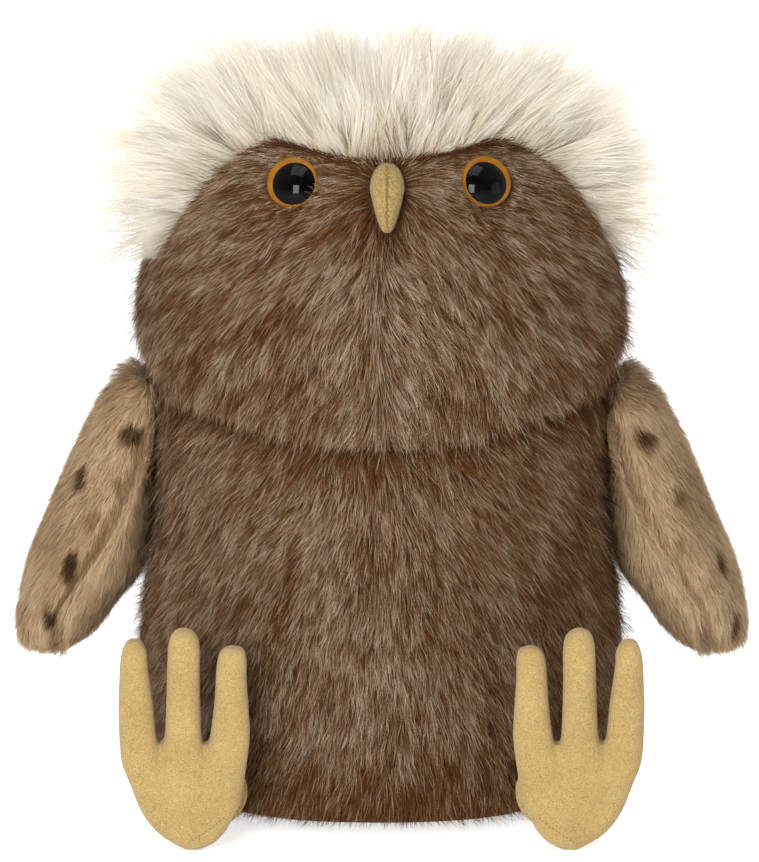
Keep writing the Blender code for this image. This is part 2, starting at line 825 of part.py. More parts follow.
class Wing:
    """Wing: an outer cloth and a lining sewn round their edge, over a filling."""

    def __init__(self, side, name, torso, finishes):
        self.side = side
        self.name = name
        self.torso = torso
        self.finishes = finishes
        torso_side = self.torso_side(WING_HINGE_HEIGHT)
        self.hinge_x = torso_side + SEAM_GAP + WING_KNUCKLE_RADIUS
        place = (side * self.hinge_x, WING_CENTRE_Y, WING_HINGE_HEIGHT)
        self.pivot = add_pivot(f"wing_hinge_{name}", place)
        self.sections = self.make_sections()

    def torso_side(self, height):
        """Half width of the torso at a height."""
        return self.torso.form.row(self.torso.form.place_at(height))[1]

    def make_sections(self):
        """Sections from the root to the tip: height, inner side, seam, outer side, chord, middle."""
        sections = []
        for angle in steps(math.pi / 2, 0.0, CAP_STEPS):
            inner = self.hinge_x - WING_KNUCKLE_RADIUS * math.cos(angle)
            outer = self.hinge_x + WING_ROOT_OUT * math.cos(angle)
            height = WING_HINGE_HEIGHT + WING_KNUCKLE_RADIUS * math.sin(angle)
            chord = WING_CHORD * ROOT_CHORD_SHARE
            chord *= blend(ROOT_CAP_SHARE, 1.0, math.cos(angle)) if angle < math.pi / 2 else 0.0
            seam = blend(inner, outer, ROOT_SEAM_SHARE)
            sections.append((height, inner, seam, outer, chord, 0.0))
        for drop, thick, chord, out, lining in WING_SHARES:
            height = WING_HINGE_HEIGHT - WING_LENGTH * drop
            inner = self.torso_side(height) + 2 * SEAM_GAP + WING_SWING_OUT * out
            outer = inner + WING_THICKNESS * thick
            seam = blend(inner, outer, lining)
            sweep = WING_SWEEP_BACK * drop
            sections.append((height, inner, seam, outer, WING_CHORD * chord, sweep))
        return sections

    def point(self, section, share, outside, inset, gap):
        """Point on a section: share runs from the front seam to the back seam."""
        height, inner, seam, outer, chord, sweep = section
        angle = math.pi * share
        half = max(chord / 2 - inset, 0.0)
        y = WING_CENTRE_Y + sweep - half * math.cos(angle)
        if outside:
            x = seam + gap + max(outer - seam - inset - gap, 0.0) * math.sin(angle)
        else:
            x = seam - gap - max(seam - inner - inset - gap, 0.0) * math.sin(angle)
        return Vector((self.side * x, y, height))

    def inset_sections(self, inset):
        """Sections with both ends drawn in, for the inside of the cloth."""
        top, bottom = self.sections[0][0], self.sections[-1][0]
        share = (top - bottom - 2 * inset) / (top - bottom)
        moved = []
        for section in self.sections:
            height = top - inset - (top - section[0]) * share
            moved.append((height, *section[1:]))
        return moved

    def build(self):
        """Add the wing's pieces."""
        shares = steps(0.0, 1.0, WING_COLUMNS)
        for outside, kind in ((True, "outer"), (False, "lining")):
            grids = []
            for inset in (0.0, WING_CLOTH):
                sections = self.inset_sections(inset)
                rows = []
                for section in sections:
                    row = [self.point(section, s, outside, inset, SEAM_GAP / 2) for s in shares]
                    rows.append(row)
                for i in (0, -1):
                    middle = sum(rows[i], Vector()) / len(rows[i])
                    rows[i] = [middle.copy() for _ in rows[i]]
                grids.append(rows)
            name = f"wing_{kind}_{self.name}"
            add_piece(name, shell(*grids), self.finishes[f"wing_{kind}"], self.pivot)
        inset = WING_CLOTH + 2 * SEAM_GAP
        rings = []
        for section in self.inset_sections(inset)[2:-2]:
            ring = [self.point(section, s, True, inset, 0.0) for s in shares]
            ring += [self.point(section, s, False, inset, 0.0) for s in shares[-2:0:-1]]
            rings.append(ring)
        name = f"wing_stuffing_{self.name}"
        add_piece(name, loft(rings), self.finishes["filling"], self.pivot)


class Leg:
    """Leg and foot: a short stuffed leg, and a foot of a sole, an upper and a filling."""

    def __init__(self, side, name, torso, finishes):
        self.side = side
        self.name = name
        self.torso = torso
        self.finishes = finishes
        self.hip = self.find_hip()
        self.pivot = add_pivot(f"leg_hinge_{name}", self.hip)
        self.back_y = self.hip.y - FOOT_GAP
        self.sole_y = self.back_y - FOOT_THICKNESS

    def find_hip(self):
        """Middle of the hip's ball, just clear of the front of the torso."""
        form = self.torso.form
        turns = steps(0.0, math.pi / 2, HIP_SEARCH_TURNS)
        places = steps(0.0, form.last / 2, HIP_SEARCH_ROWS)
        surface = numpy.array([form.point(turn, place) for turn in turns for place in places])
        near = form.front_y(HIP_X, HIP_HEIGHT)
        far = near - HIP_SEARCH_SHARE * HIP_RADIUS
        for _ in range(SEARCH_STEPS):
            middle = (near + far) / 2
            centre = numpy.array((HIP_X, middle, HIP_HEIGHT))
            nearest = numpy.linalg.norm(surface - centre, axis=1).min()
            if nearest < HIP_RADIUS + SEAM_GAP:
                near = middle
            else:
                far = middle
        return Vector((self.side * HIP_X, far, HIP_HEIGHT))

    def outline(self, inset, y):
        """The foot's outline at one depth, drawn in by the inset."""
        count = len(FOOT_OUTLINE_SHARES)
        flat = []
        for i in range(count):
            four = [FOOT_OUTLINE_SHARES[(i + k) % count] for k in (-1, 0, 1, 2)]
            for j in range(OUTLINE_STEPS):
                share = j / OUTLINE_STEPS
                across, up = (smooth_between(*axis, share) for axis in zip(*four))
                flat.append(Vector((FOOT_WIDTH * (across - 0.5), FOOT_HEIGHT * max(up, 0.0))))
        points = []
        for i, point in enumerate(flat):
            along = (flat[(i + 1) % len(flat)] - flat[i - 1]).normalized()
            inward = Vector((along.y, -along.x))
            moved = point + inward * inset
            x = self.side * (FOOT_X - moved.x)
            points.append(Vector((x, y, moved.y)))
        return points

    def layer(self, levels):
        """Rings of the foot's outline, one for each inset and depth from the sole's face."""
        return [self.outline(inset, self.sole_y + depth) for inset, depth in levels]

    def build(self):
        """Add the leg's and the foot's pieces."""
        suede = self.finishes["suede"]
        round_in = FOOT_ROUNDING
        sole = self.layer(
            (
                (round_in, 0.0),
                (round_in * SOLE_BEVEL_SHARES[0], SOLE_CLOTH * SOLE_BEVEL_SHARES[1]),
                (0.0, SOLE_CLOTH * SOLE_FULL_SHARE),
                (0.0, SOLE_CLOTH),
            )
        )
        add_piece(f"foot_sole_{self.name}", loft(sole), suede, self.pivot)
        self.add_upper(suede)
        self.add_leg(suede)

    def add_upper(self, suede):
        """Foot's upper cloth, a cup open toward the sole, and the filling in it."""
        start = SOLE_CLOTH + SEAM_GAP
        end = FOOT_THICKNESS
        rounding = FOOT_ROUNDING
        cup = self.layer(
            (
                (0.0, start),
                (0.0, end - rounding),
                (rounding * UPPER_BEVEL_SHARE, end - rounding * UPPER_BEVEL_SHARE),
                (rounding, end),
            )
        )
        hollow = self.layer(
            (
                (FOOT_CLOTH, start),
                (FOOT_CLOTH, end - FOOT_CLOTH - rounding),
                (FOOT_CLOTH + rounding * HOLLOW_BEVEL_SHARE, end - FOOT_CLOTH),
            )
        )
        mesh = bmesh.new()
        rings = [*reversed(hollow), *cup]
        grid = [[mesh.verts.new(point) for point in ring] for ring in rings]
        add_faces(mesh, grid, True, False)
        mesh.faces.new(grid[0])
        mesh.faces.new(grid[-1])
        add_piece(f"foot_top_{self.name}", finish_mesh(mesh), suede, self.pivot)
        inset = FOOT_CLOTH + 2 * SEAM_GAP
        filling = self.layer(
            (
                (inset, start),
                (inset, end - FOOT_CLOTH - rounding - 2 * SEAM_GAP),
                (inset + rounding * HOLLOW_BEVEL_SHARE, end - FOOT_CLOTH - 2 * SEAM_GAP),
            )
        )
        name = f"foot_stuffing_{self.name}"
        add_piece(name, loft(filling), self.finishes["filling"], self.pivot)

    def add_leg(self, suede):
        """Short stuffed leg, round at the hip and flat against the foot."""
        ankle = Vector((self.side * (FOOT_X - ANKLE_INWARD), self.back_y + SEAM_GAP, ANKLE_HEIGHT))
        levels = []
        for angle in steps(math.pi / 2, 0.0, CAP_STEPS + 1):
            centre = self.hip + Vector((0, HIP_RADIUS * math.sin(angle), 0))
            levels.append((centre, HIP_RADIUS * math.cos(angle)))
        for share in steps(0.0, 1.0, CAP_STEPS)[1:]:
            radius = blend(HIP_RADIUS, ANKLE_RADIUS, ease(share))
            levels.append((self.hip.lerp(ankle, share), radius))
        rings = []
        for centre, radius in levels:
            ring = []
            for i in range(ROUND_STEPS):
                angle = math.tau * i / ROUND_STEPS
                offset = Vector((math.cos(angle), 0, math.sin(angle))) * radius
                ring.append(centre + offset)
            rings.append(ring)
        mesh = bmesh.new()
        grid = [[mesh.verts.new(point) for point in ring] for ring in rings]
        add_faces(mesh, grid, True, False)
        mesh.faces.new(grid[-1])
        add_piece(f"leg_{self.name}", finish_mesh(mesh), suede, self.pivot)


def make_finishes():
    """All finishes of the owl by name."""
    table = (
        ("brown_fur", (0.19, 0.10, 0.055), 0.9),
        ("white_fur", (0.70, 0.62, 0.50), 0.9),
        ("wing_outer", (0.50, 0.36, 0.25), 0.9),
        ("wing_lining", (0.26, 0.16, 0.09), 0.9),
        ("suede", (0.66, 0.46, 0.18), 0.85),
        ("beak_cloth", (0.46, 0.31, 0.11), 0.85),
        ("filling", (0.85, 0.84, 0.80), 0.95),
        ("pouch", (0.60, 0.58, 0.55), 0.9),
        ("amber", (0.52, 0.17, 0.004), 0.15),
        ("black", (0.004, 0.004, 0.004), 0.08),
        ("nylon", (0.80, 0.80, 0.78), 0.45),
    )
    return {name: Finish(name, colour, roughness) for name, colour, roughness in table}


def main():
    """Clear the scene and model the owl."""
    for item in list(bpy.data.objects):
        bpy.data.objects.remove(item)
    finishes = make_finishes()
    torso = Torso(finishes)
    torso.build()
    Head(finishes).build()
    for side, name in ((-1, "left"), (1, "right")):
        wing = Wing(side, name, torso, finishes)
        wing.build()
        leg = Leg(side, name, torso, finishes)
        leg.build()
        print(name, "wing hinge", tuple(round(v, 6) for v in wing.pivot.location))
        print(name, "leg hinge", tuple(round(v, 6) for v in leg.hip), "sole", round(leg.sole_y, 6))


if __name__ == "__main__":
    main()
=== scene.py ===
"""Looks of a plush owl: pile cloth made of strands, suede feet, a sewn beak and plastic eyes.

Everything is in metres with +Z up. The face looks along -Y and +X is the viewer's right.
"""

from __future__ import annotations

import logging
import math
from collections.abc import Callable
from dataclasses import dataclass
from enum import Enum, IntEnum

import bmesh
import bpy
import numpy as np
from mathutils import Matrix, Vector


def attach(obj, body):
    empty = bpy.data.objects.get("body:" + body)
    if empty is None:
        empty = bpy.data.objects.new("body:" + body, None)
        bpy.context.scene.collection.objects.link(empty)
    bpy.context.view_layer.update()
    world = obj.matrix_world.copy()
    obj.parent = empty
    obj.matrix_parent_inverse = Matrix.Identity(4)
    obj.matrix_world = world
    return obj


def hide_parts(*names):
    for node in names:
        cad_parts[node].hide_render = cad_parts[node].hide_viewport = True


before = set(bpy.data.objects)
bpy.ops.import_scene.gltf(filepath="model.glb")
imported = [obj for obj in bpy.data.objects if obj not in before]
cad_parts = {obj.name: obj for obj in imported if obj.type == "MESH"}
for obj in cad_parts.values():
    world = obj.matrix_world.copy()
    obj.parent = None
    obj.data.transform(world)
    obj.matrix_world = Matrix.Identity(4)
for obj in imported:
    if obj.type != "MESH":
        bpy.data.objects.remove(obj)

LOG = logging.getLogger("plush_owl")
Array = np.ndarray
SURFACE_STEP = 1e-3
POLE_MARGIN = 0.03
STRAND_MAP = "OFBake"
STRAND_EDGE = 0.004
STRAND_LEAST, STRAND_MOST = 0.01, 0.99
FLOOR_GAP = 0.0003
SCRAMBLE = (374761393, 668265263, 2246822519, 3266489917)
LOW_BITS = 0xFFFFFF


class Side(IntEnum):
    """Side of the owl, as the viewer sees it; its value is the sign of X."""

    LEFT = -1
    RIGHT = 1

    @property
    def word(self) -> str:
        """The side's word in the names of pieces."""
        return self.name.lower()


class Finish(Enum):
    """Materials that pieces are dressed in, by the names that they have in the scene."""

    BROWN_PILE = "brown_pile"
    WHITE_PILE = "white_pile"
    WING_PILE = "wing_pile"
    BROWN_CLOTH = "brown_cloth"
    CREAM_CLOTH = "cream_cloth"
    TAN_CLOTH = "tan_cloth"
    SUEDE = "suede"
    BEAK_CLOTH = "beak_cloth"
    THREAD = "thread"
    AMBER = "amber_plastic"
    BLACK = "black_plastic"
    NYLON = "nylon_plastic"


class Mixing(Enum):
    """Ways in which two colours are mixed."""

    BLEND = "MIX"
    SHADE = "MULTIPLY"


def ease(share: Array | float) -> Array | float:
    """Smooth step from 0 to 1; shares outside that are held there."""
    share = np.clip(share, 0.0, 1.0)
    return share * share * (3 - 2 * share)


def blend(start: Array | float, end: Array | float, share: Array | float) -> Array | float:
    """Value at a share of the way from start to end."""
    return start + (end - start) * share


def near(value: Array, width: float, middle: float = 0.0) -> Array:
    """How near values lie to a middle: 1 there, and about a third a width away."""
    return np.exp(-(((value - middle) / width) ** 2))


def halve(low: Array, high: Array, short: Callable[[Array], Array], times: int) -> Array:
    """Find where a test stops being true, by halving.

    Args:
        low: Places where the test is true.
        high: Places where it is not.
        short: The test.
        times: How often to halve.

    Returns:
        The places.
    """
    for _ in range(times):
        middle = (low + high) / 2
        under = short(middle)
        low, high = np.where(under, middle, low), np.where(under, high, middle)
    return (low + high) / 2


def unit(vectors: Array) -> Array:
    """Vectors at length 1, one in each row."""
    length = np.linalg.norm(vectors, axis=-1, keepdims=True)
    return vectors / np.maximum(length, 1e-12)


def dot(first: Array, second: Array) -> Array:
    """Dot products row by row, as a column."""
    return np.sum(first * second, axis=-1, keepdims=True)


def corner_value(corner: Array, seed: int) -> Array:
    """Steady random value for each whole-numbered corner of a lattice.

    Args:
        corner: Whole numbers, three in each row.
        seed: Which set of values to take.

    Returns:
        Values from 0 to 1.
    """
    mixed = corner.astype(np.int64).astype(np.uint64)
    first, second, third, fourth = (np.uint64(factor) for factor in SCRAMBLE)
    total = mixed[..., 0] * first + mixed[..., 1] * second + mixed[..., 2] * third
    total = total + np.uint64(seed * SCRAMBLE[3])
    total = (total ^ (total >> np.uint64(15))) * third
    total = (total ^ (total >> np.uint64(13))) * fourth
    total = total ^ (total >> np.uint64(16))
    return (total & np.uint64(LOW_BITS)).astype(float) / LOW_BITS


def noise(points: Array, size: float, seed: int) -> Array:
    """Smooth noise in space.

    Args:
        points: Places, one in each row.
        size: Size of the noise's patches.
        seed: Which noise to take.

    Returns:
        Values from -1 to 1.
    """
    place = points / size
    low = np.floor(place)
    part = ease(place - low)
    total = np.zeros(len(points))
    for corner in range(8):
        offset = np.array([corner & 1, corner >> 1 & 1, corner >> 2 & 1])
        weight = np.prod(np.where(offset == 1, part, 1 - part), axis=1)
        total += weight * corner_value(low + offset, seed)
    return total * 2 - 1


class Surface:
    """Smooth surface with a turn round it and a place along it.

    Attributes:
        last: Last place along it.
        lumps: Height of the stuffing's lumps.
        lump_size: Their size.
        lump_seed: Which noise they follow.
    """

    last: float = 1.0
    lumps: float = 0.0
    lump_size: float = 0.035
    lump_seed: int = 5

    def shape(self, turn: Array, place: Array) -> Array:
        """Points of the plain shape, in rows, at angles round it and places along it."""
        raise NotImplementedError

    def at(self, turn: Array, place: Array) -> tuple[Array, Array]:
        """Points on the surface and the directions out of it.

        Args:
            turn: Angles round the surface.
            place: Places along it.

        Returns:
            Points and unit normals, in rows.
        """
        points = self.shape(turn, place)
        inside = np.clip(place, POLE_MARGIN, self.last - POLE_MARGIN)
        round_it = self.shape(turn + SURFACE_STEP, inside) - self.shape(turn - SURFACE_STEP, inside)
        along = self.shape(turn, inside + SURFACE_STEP) - self.shape(turn, inside - SURFACE_STEP)
        normals = unit(np.cross(round_it, along))
        if self.lumps:
            bulge = self.lumps * noise(points, self.lump_size, self.lump_seed)
            points = points + normals * bulge[:, None]
        return points, normals

    def grid(self, turns: int, low: Array, high: Array, rows: int, depth: float) -> Array:
        """Grid of points below the surface.

        Args:
            turns: How many columns go round.
            low: Lowest place in each column.
            high: Highest place in each column.
            rows: How many rows there are.
            depth: How far below the surface they lie.

        Returns:
            Points, as rows by columns by 3.
        """
        angle = np.arange(turns) * math.tau / turns
        rings = []
        for share in np.linspace(0, 1, rows):
            points, normals = self.at(angle, blend(low, high, share))
            rings.append(points - normals * depth)
        return np.array(rings)


def through(rows: Array, place: Array) -> Array:
    """Values between rows, on smooth curves through them.

    Args:
        rows: One set of values in each row.
        place: Places between the rows.

    Returns:
        One column of values for each place.
    """
    last = len(rows) - 1
    place = np.clip(place, 0.0, last)
    index = np.minimum(place.astype(int), last - 1)
    share = (place - index)[:, None]
    before, start = rows[np.maximum(index - 1, 0)], rows[index]
    end, after = rows[index + 1], rows[np.minimum(index + 2, last)]
    bend = 2 * before - 5 * start + 4 * end - after
    twist = 3 * start - before - 3 * end + after
    value = start + ((end - before) * share + bend * share**2 + twist * share**3) / 2
    return value.T


class Form(Surface):
    """Stuffed form from rows of height, half width, front depth and back depth."""

    def __init__(self, rows: Array, power: float, lumps: float) -> None:
        """Keep the form's rows.

        Args:
            rows: Height, half width, front depth and back depth in each row.
            power: How square its outline is, seen from above; 2 is an ellipse.
            lumps: Height of the stuffing's lumps.
        """
        self.rows = rows
        self.power = power
        self.last = float(len(rows) - 1)
        self.lumps = lumps

    def shape(self, turn: Array, place: Array) -> Array:
        """Points of the form.

        Args:
            turn: Angles round it, from its front.
            place: Places along it.

        Returns:
            Points in rows.
        """
        height, width, front, back = through(self.rows, place)
        power = 2 / self.power
        sine, cosine = np.sin(turn), np.cos(turn)
        depth = np.where(cosine > 0, front, back)
        x = width * np.sign(sine) * np.abs(sine) ** power
        y = -depth * np.sign(cosine) * np.abs(cosine) ** power
        return np.stack([x, y, height], axis=-1)

    def place_at(self, height: Array) -> Array:
        """Places at which the form reaches given heights."""
        low, high = np.zeros_like(height), np.full_like(height, self.last)
        return halve(low, high, lambda place: through(self.rows, place)[0] < height, 40)

    def front_y(self, x: Array, height: Array) -> Array:
        """Where the front of the form lies.

        Args:
            x: Sideways places.
            height: Heights.

        Returns:
            The places along Y.
        """
        _, width, front, _ = through(self.rows, self.place_at(height))
        share = np.clip(1 - (np.abs(x) / width) ** self.power, 0, None)
        return -front * share ** (1 / self.power)

    def meet_ball(self, turn: Array, centre: Array, radius: float) -> Array:
        """Places at which the form's side runs into a ball.

        Args:
            turn: Angles round the form.
            centre: The ball's centre.
            radius: The ball's radius.

        Returns:
            Places along the form.
        """
        low, high = np.zeros_like(turn), np.full_like(turn, self.last)

        def outside(place: Array) -> Array:
            """Whether the form lies outside the ball there."""
            return np.linalg.norm(self.shape(turn, place) - centre, axis=1) > radius

        return halve(low, high, outside, 30)


@dataclass(frozen=True)
class Pile:
    """Pile of a cloth: how its strands stand, lie and gather.

    Attributes:
        length: Length of a strand.
        width: Width of a strand at its root.
        rise: How far a strand's tip stands above its root.
        density: Strands on each square metre.
        segments: Straight stretches in a strand.
        clump: Size of the clumps that the tips gather in.
        pull: Share of the way that a tip is drawn to its clump.
        roll: Most that a strand rolls about its own line.
        wander: Most that a strand's direction strays.
        spread: Share by which lengths differ.
        glint: How much the strands differ in the way they catch the light.
        mottle: How much the bunches differ in tint.
        guard: Share of the strands that stand out past the others.
        guard_length: How much longer those are.
        guard_rise: How much higher they stand.
    """

    length: float
    width: float
    density: float
    rise: float = 0.0
    segments: int = 2
    clump: float = 0.004
    pull: float = 0.5
    roll: float = 0.7
    wander: float = 0.2
    spread: float = 0.25
    glint: float = 0.5
    mottle: float = 0.22
    guard: float = 0.09
    guard_length: float = 1.35
    guard_rise: float = 1.6


@dataclass(frozen=True)
class LongPile(Pile):
    """Long pile that stands up in pointed tufts, with thin wisps past them.

    Attributes:
        tuft: Size of a tuft.
        tuft_stray: How much further a tuft's direction strays than a bunch's.
        tuft_pull: Share of the way that a strand is drawn to its tuft.
        loose: Share of the strands that stand loose.
        loose_stray: How much those stray.
        held_stray: How much the others stray.
        loose_pull: How much of the pull is left to a loose strand.
        wisp_bunches: Share of the bunches that hold no wisp.
        wisp_share: Share of the strands of a bunch that are in its wisp.
        wisp_lengths: Least and greatest length of a wisp, as shares.
        wisp_least: Least share of its length that a wisp keeps at the crest's edge.
        wisp_pull: Share of the way that a wisp's strands are drawn together.
        wisp_aside: Share of the way that they are drawn to their tuft.
        wisp_painted_shade: How much a wisp's tint drops toward its tip, as painted shade of backlit
            hair.
        bend: How much the strands bend, as a share of their length.
        droop: How much a level strand's tip hangs down, as a share of its length.
    """

    tuft: float = 0.0105
    tuft_stray: float = 2.4
    tuft_pull: float = 0.42
    loose: float = 0.10
    loose_stray: float = 2.6
    held_stray: float = 0.7
    loose_pull: float = 0.2
    wisp_bunches: float = 0.64
    wisp_share: float = 0.30
    wisp_lengths: tuple = (1.00, 1.52)
    wisp_least: float = 0.75
    wisp_pull: float = 0.85
    wisp_aside: float = 0.2
    wisp_painted_shade: float = 0.50
    bend: float = 0.10
    droop: float = 0.05


def scatter(
    surface: Surface, density: float, rng: np.random.Generator, low: float, high: float
) -> tuple[Array, Array]:
    """Even scatter of places over a surface.

    Args:
        surface: The surface.
        density: Places on each square metre.
        rng: Source of random numbers.
        low: Lowest place along the surface.
        high: Highest place along it.

    Returns:
        Turns and places.
    """
    columns, rows = 420, 260
    turn_edge = np.linspace(0, math.tau, columns + 1)
    place_edge = np.linspace(low, high, rows + 1)
    turn, place = np.meshgrid(turn_edge, place_edge)
    points = surface.shape(turn.ravel(), place.ravel()).reshape(rows + 1, columns + 1, 3)
    across = points[:-1, 1:] - points[:-1, :-1]
    along = points[1:, :-1] - points[:-1, :-1]
    area = np.linalg.norm(np.cross(across, along), axis=-1)
    count = np.floor(area * density + rng.random(area.shape)).astype(int)
    row, column = np.nonzero(count)
    times = count[row, column]
    row, column = np.repeat(row, times), np.repeat(column, times)
    turn = (column + rng.random(len(column))) * math.tau / columns
    place = low + (row + rng.random(len(row))) * (high - low) / rows
    return turn, place


def add_object(name: str, points: Array, faces: list[Array], smooth: bool = True) -> bpy.types.Object:
    """Mesh object from arrays.

    Args:
        name: The object's name.
        points: Vertices in rows.
        faces: Arrays of faces, each with one number of corners.
        smooth: Whether the faces are shaded smooth.

    Returns:
        The new object, linked to the scene.
    """
    mesh = bpy.data.meshes.new(name)
    mesh.vertices.add(len(points))
    mesh.vertices.foreach_set("co", np.asarray(points, dtype=np.float32).ravel())
    corners = np.concatenate([f.ravel() for f in faces]).astype(np.int32)
    counts = np.concatenate([np.full(len(f), f.shape[1]) for f in faces]).astype(np.int32)
    starts = np.concatenate([[0], np.cumsum(counts)[:-1]]).astype(np.int32)
    mesh.loops.add(len(corners))
    mesh.loops.foreach_set("vertex_index", corners)
    mesh.polygons.add(len(counts))
    mesh.polygons.foreach_set("loop_start", starts)
    mesh.polygons.foreach_set("use_smooth", np.full(len(counts), smooth))
    mesh.update(calc_edges=True)
    mesh.validate()
    item = bpy.data.objects.new(name, mesh)
    bpy.context.scene.collection.objects.link(item)
    return item


def ring_faces(rows: int, columns: int) -> tuple[Array, Array, Array]:
    """Four-cornered faces between rings of points.

    Args:
        rows: How many rings there are.
        columns: How many points each has.

    Returns:
        The faces, the points' numbers, and the number of each point's neighbour in its ring.
    """
    index = np.arange(rows * columns).reshape(rows, columns)
    right = np.roll(index, -1, axis=1)
    quads = np.stack([index[:-1], right[:-1], right[1:], index[1:]], axis=-1).reshape(-1, 4)
    return quads, index, right


def skin_object(name: str, grid: Array) -> bpy.types.Object:
    """Closed smooth skin over a grid of points that goes round.

    Args:
        name: The object's name.
        grid: Points, as rows by columns by 3.

    Returns:
        The new object, closed at both ends to a point in their middle.
    """
    rows, columns, _ = grid.shape
    quads, index, right = ring_faces(rows, columns)
    bottom, top = rows * columns, rows * columns + 1
    points = np.vstack([grid.reshape(-1, 3), grid[0].mean(axis=0), grid[-1].mean(axis=0)])
    first = np.stack([np.full(columns, bottom), right[0], index[0]], axis=-1)
    final = np.stack([np.full(columns, top), index[-1], right[-1]], axis=-1)
    return add_object(name, points, [quads, np.vstack([first, final])])


def add_strands(
    name: str,
    spines: list[Array],
    flat: Array,
    halves: list[Array],
    tint: Array,
    facing: Array | None,
    fade: Array | float = 0.0,
) -> bpy.types.Object:
    """Mesh of tapering strands, one ribbon each.

    Args:
        name: The object's name.
        spines: Points of the strands' middles, from the roots to the tips.
        flat: Directions across the strands.
        halves: Half widths at each point.
        tint: Place of each strand in the cloth's range of colours, from 0 to 1.
        facing: Directions in which the strands are lit, or None for their own.
        fade: How much the tints drop toward the tips.

    Returns:
        The new object.
    """
    count, last = len(tint), len(spines) - 1
    rings = []
    for spine, half in zip(spines[:last], halves):
        rings += [spine - flat * half, spine + flat * half]
    rings.append(spines[last])
    per = len(rings)
    points = np.stack(rings, axis=1).reshape(-1, 3)
    base = (np.arange(count) * per)[:, None]
    quads = [base + np.array([2 * k, 2 * k + 1, 2 * k + 3, 2 * k + 2]) for k in range(last - 1)]
    faces = [np.vstack(quads), base + np.array([per - 3, per - 2, per - 1])]
    item = add_object(name, points, faces)
    edge = np.array([-STRAND_EDGE, STRAND_EDGE] * last + [0.0])
    shares = np.append(np.repeat(np.arange(last) / last, 2), 1.0)
    shares = np.clip(shares, STRAND_LEAST, STRAND_MOST)
    faded = tint[:, None] - np.broadcast_to(fade, count)[:, None] * shares[None, :] ** 2
    across = (np.clip(faded, STRAND_LEAST, STRAND_MOST) + edge[None, :]).ravel()
    along = np.tile(shares, count)
    loops = np.concatenate([f.ravel() for f in faces])
    layer = item.data.uv_layers.new(name=STRAND_MAP)
    pairs = np.stack([across[loops], along[loops]], axis=-1).astype(np.float32)
    layer.data.foreach_set("uv", pairs.ravel())
    if facing is not None:
        normals = np.repeat(unit(facing), per, axis=0)
        item.data.normals_split_custom_set_from_vertices(normals)
    return item


STITCH_SHAPE = (
    (0.0, 0.05), (0.03, 0.6), (0.15, 1.0), (0.5, 1.1), (0.85, 1.0), (0.97, 0.6), (1.0, 0.05),
)


def add_stitches(name: str, starts: Array, ends: Array, radius: float) -> bpy.types.Object:
    """Row of short stitches, each a closed rounded piece of thread.

    Args:
        name: The object's name.
        starts: Where the stitches start.
        ends: Where they end.
        radius: Radius of the thread.

    Returns:
        The new object.
    """
    columns = 8
    angle = (np.arange(columns) * math.tau / columns)[:, None]
    quads, _, _ = ring_faces(len(STITCH_SHAPE), columns)
    points, faces = [], []
    for start, end in zip(starts, ends):
        side = unit(np.cross(end - start, [0.0, 1.0, 0.1]))
        out = unit(np.cross(side, end - start))
        around = side * np.cos(angle) + out * np.sin(angle)
        faces.append(quads + len(points) * columns)
        for place, full in STITCH_SHAPE:
            points.append(blend(start, end, place) + around * radius * full)
    return add_object(name, np.concatenate(points), [np.concatenate(faces)])


@dataclass
class Clumps:
    """Small bunches in which the tips of a pile gather.

    Attributes:
        centre: Middle of each strand's bunch.
        own: Values from 0 to 1 that a bunch's strands share, in columns.
    """

    centre: Array
    own: Array

    @classmethod
    def around(cls, roots: Array, size: float) -> Clumps:
        """Sort roots into bunches.

        Args:
            roots: Where the strands start.
            size: Size of a bunch.

        Returns:
            The bunches.
        """
        cell = np.floor(roots / size + 0.4 * noise(roots, size * 1.7, 11)[:, None])
        own = np.stack([corner_value(cell, seed) for seed in range(21, 29)], axis=-1)
        centre = (cell + 0.5 + (own[:, :3] - 0.5) * 0.6) * size
        return cls(centre, own)


@dataclass
class Strands:
    """Strands of a pile, with one row for each in every array.

    Attributes:
        roots: Where they start.
        normals: Directions out of the cloth there.
        comb: Directions that they are combed in.
        tint: Their places in the cloth's range of colours, from 0 to 1.
        lengths: Their shares of the pile's length.
        lift: How much further than usual their tips rise.
    """

    roots: Array
    normals: Array
    comb: Array
    tint: Array
    lengths: Array
    lift: Array

    def only(self, mask: Array) -> Strands:
        """Those of the strands for which a mask is true."""
        return Strands(*(values[mask] for values in vars(self).values()))


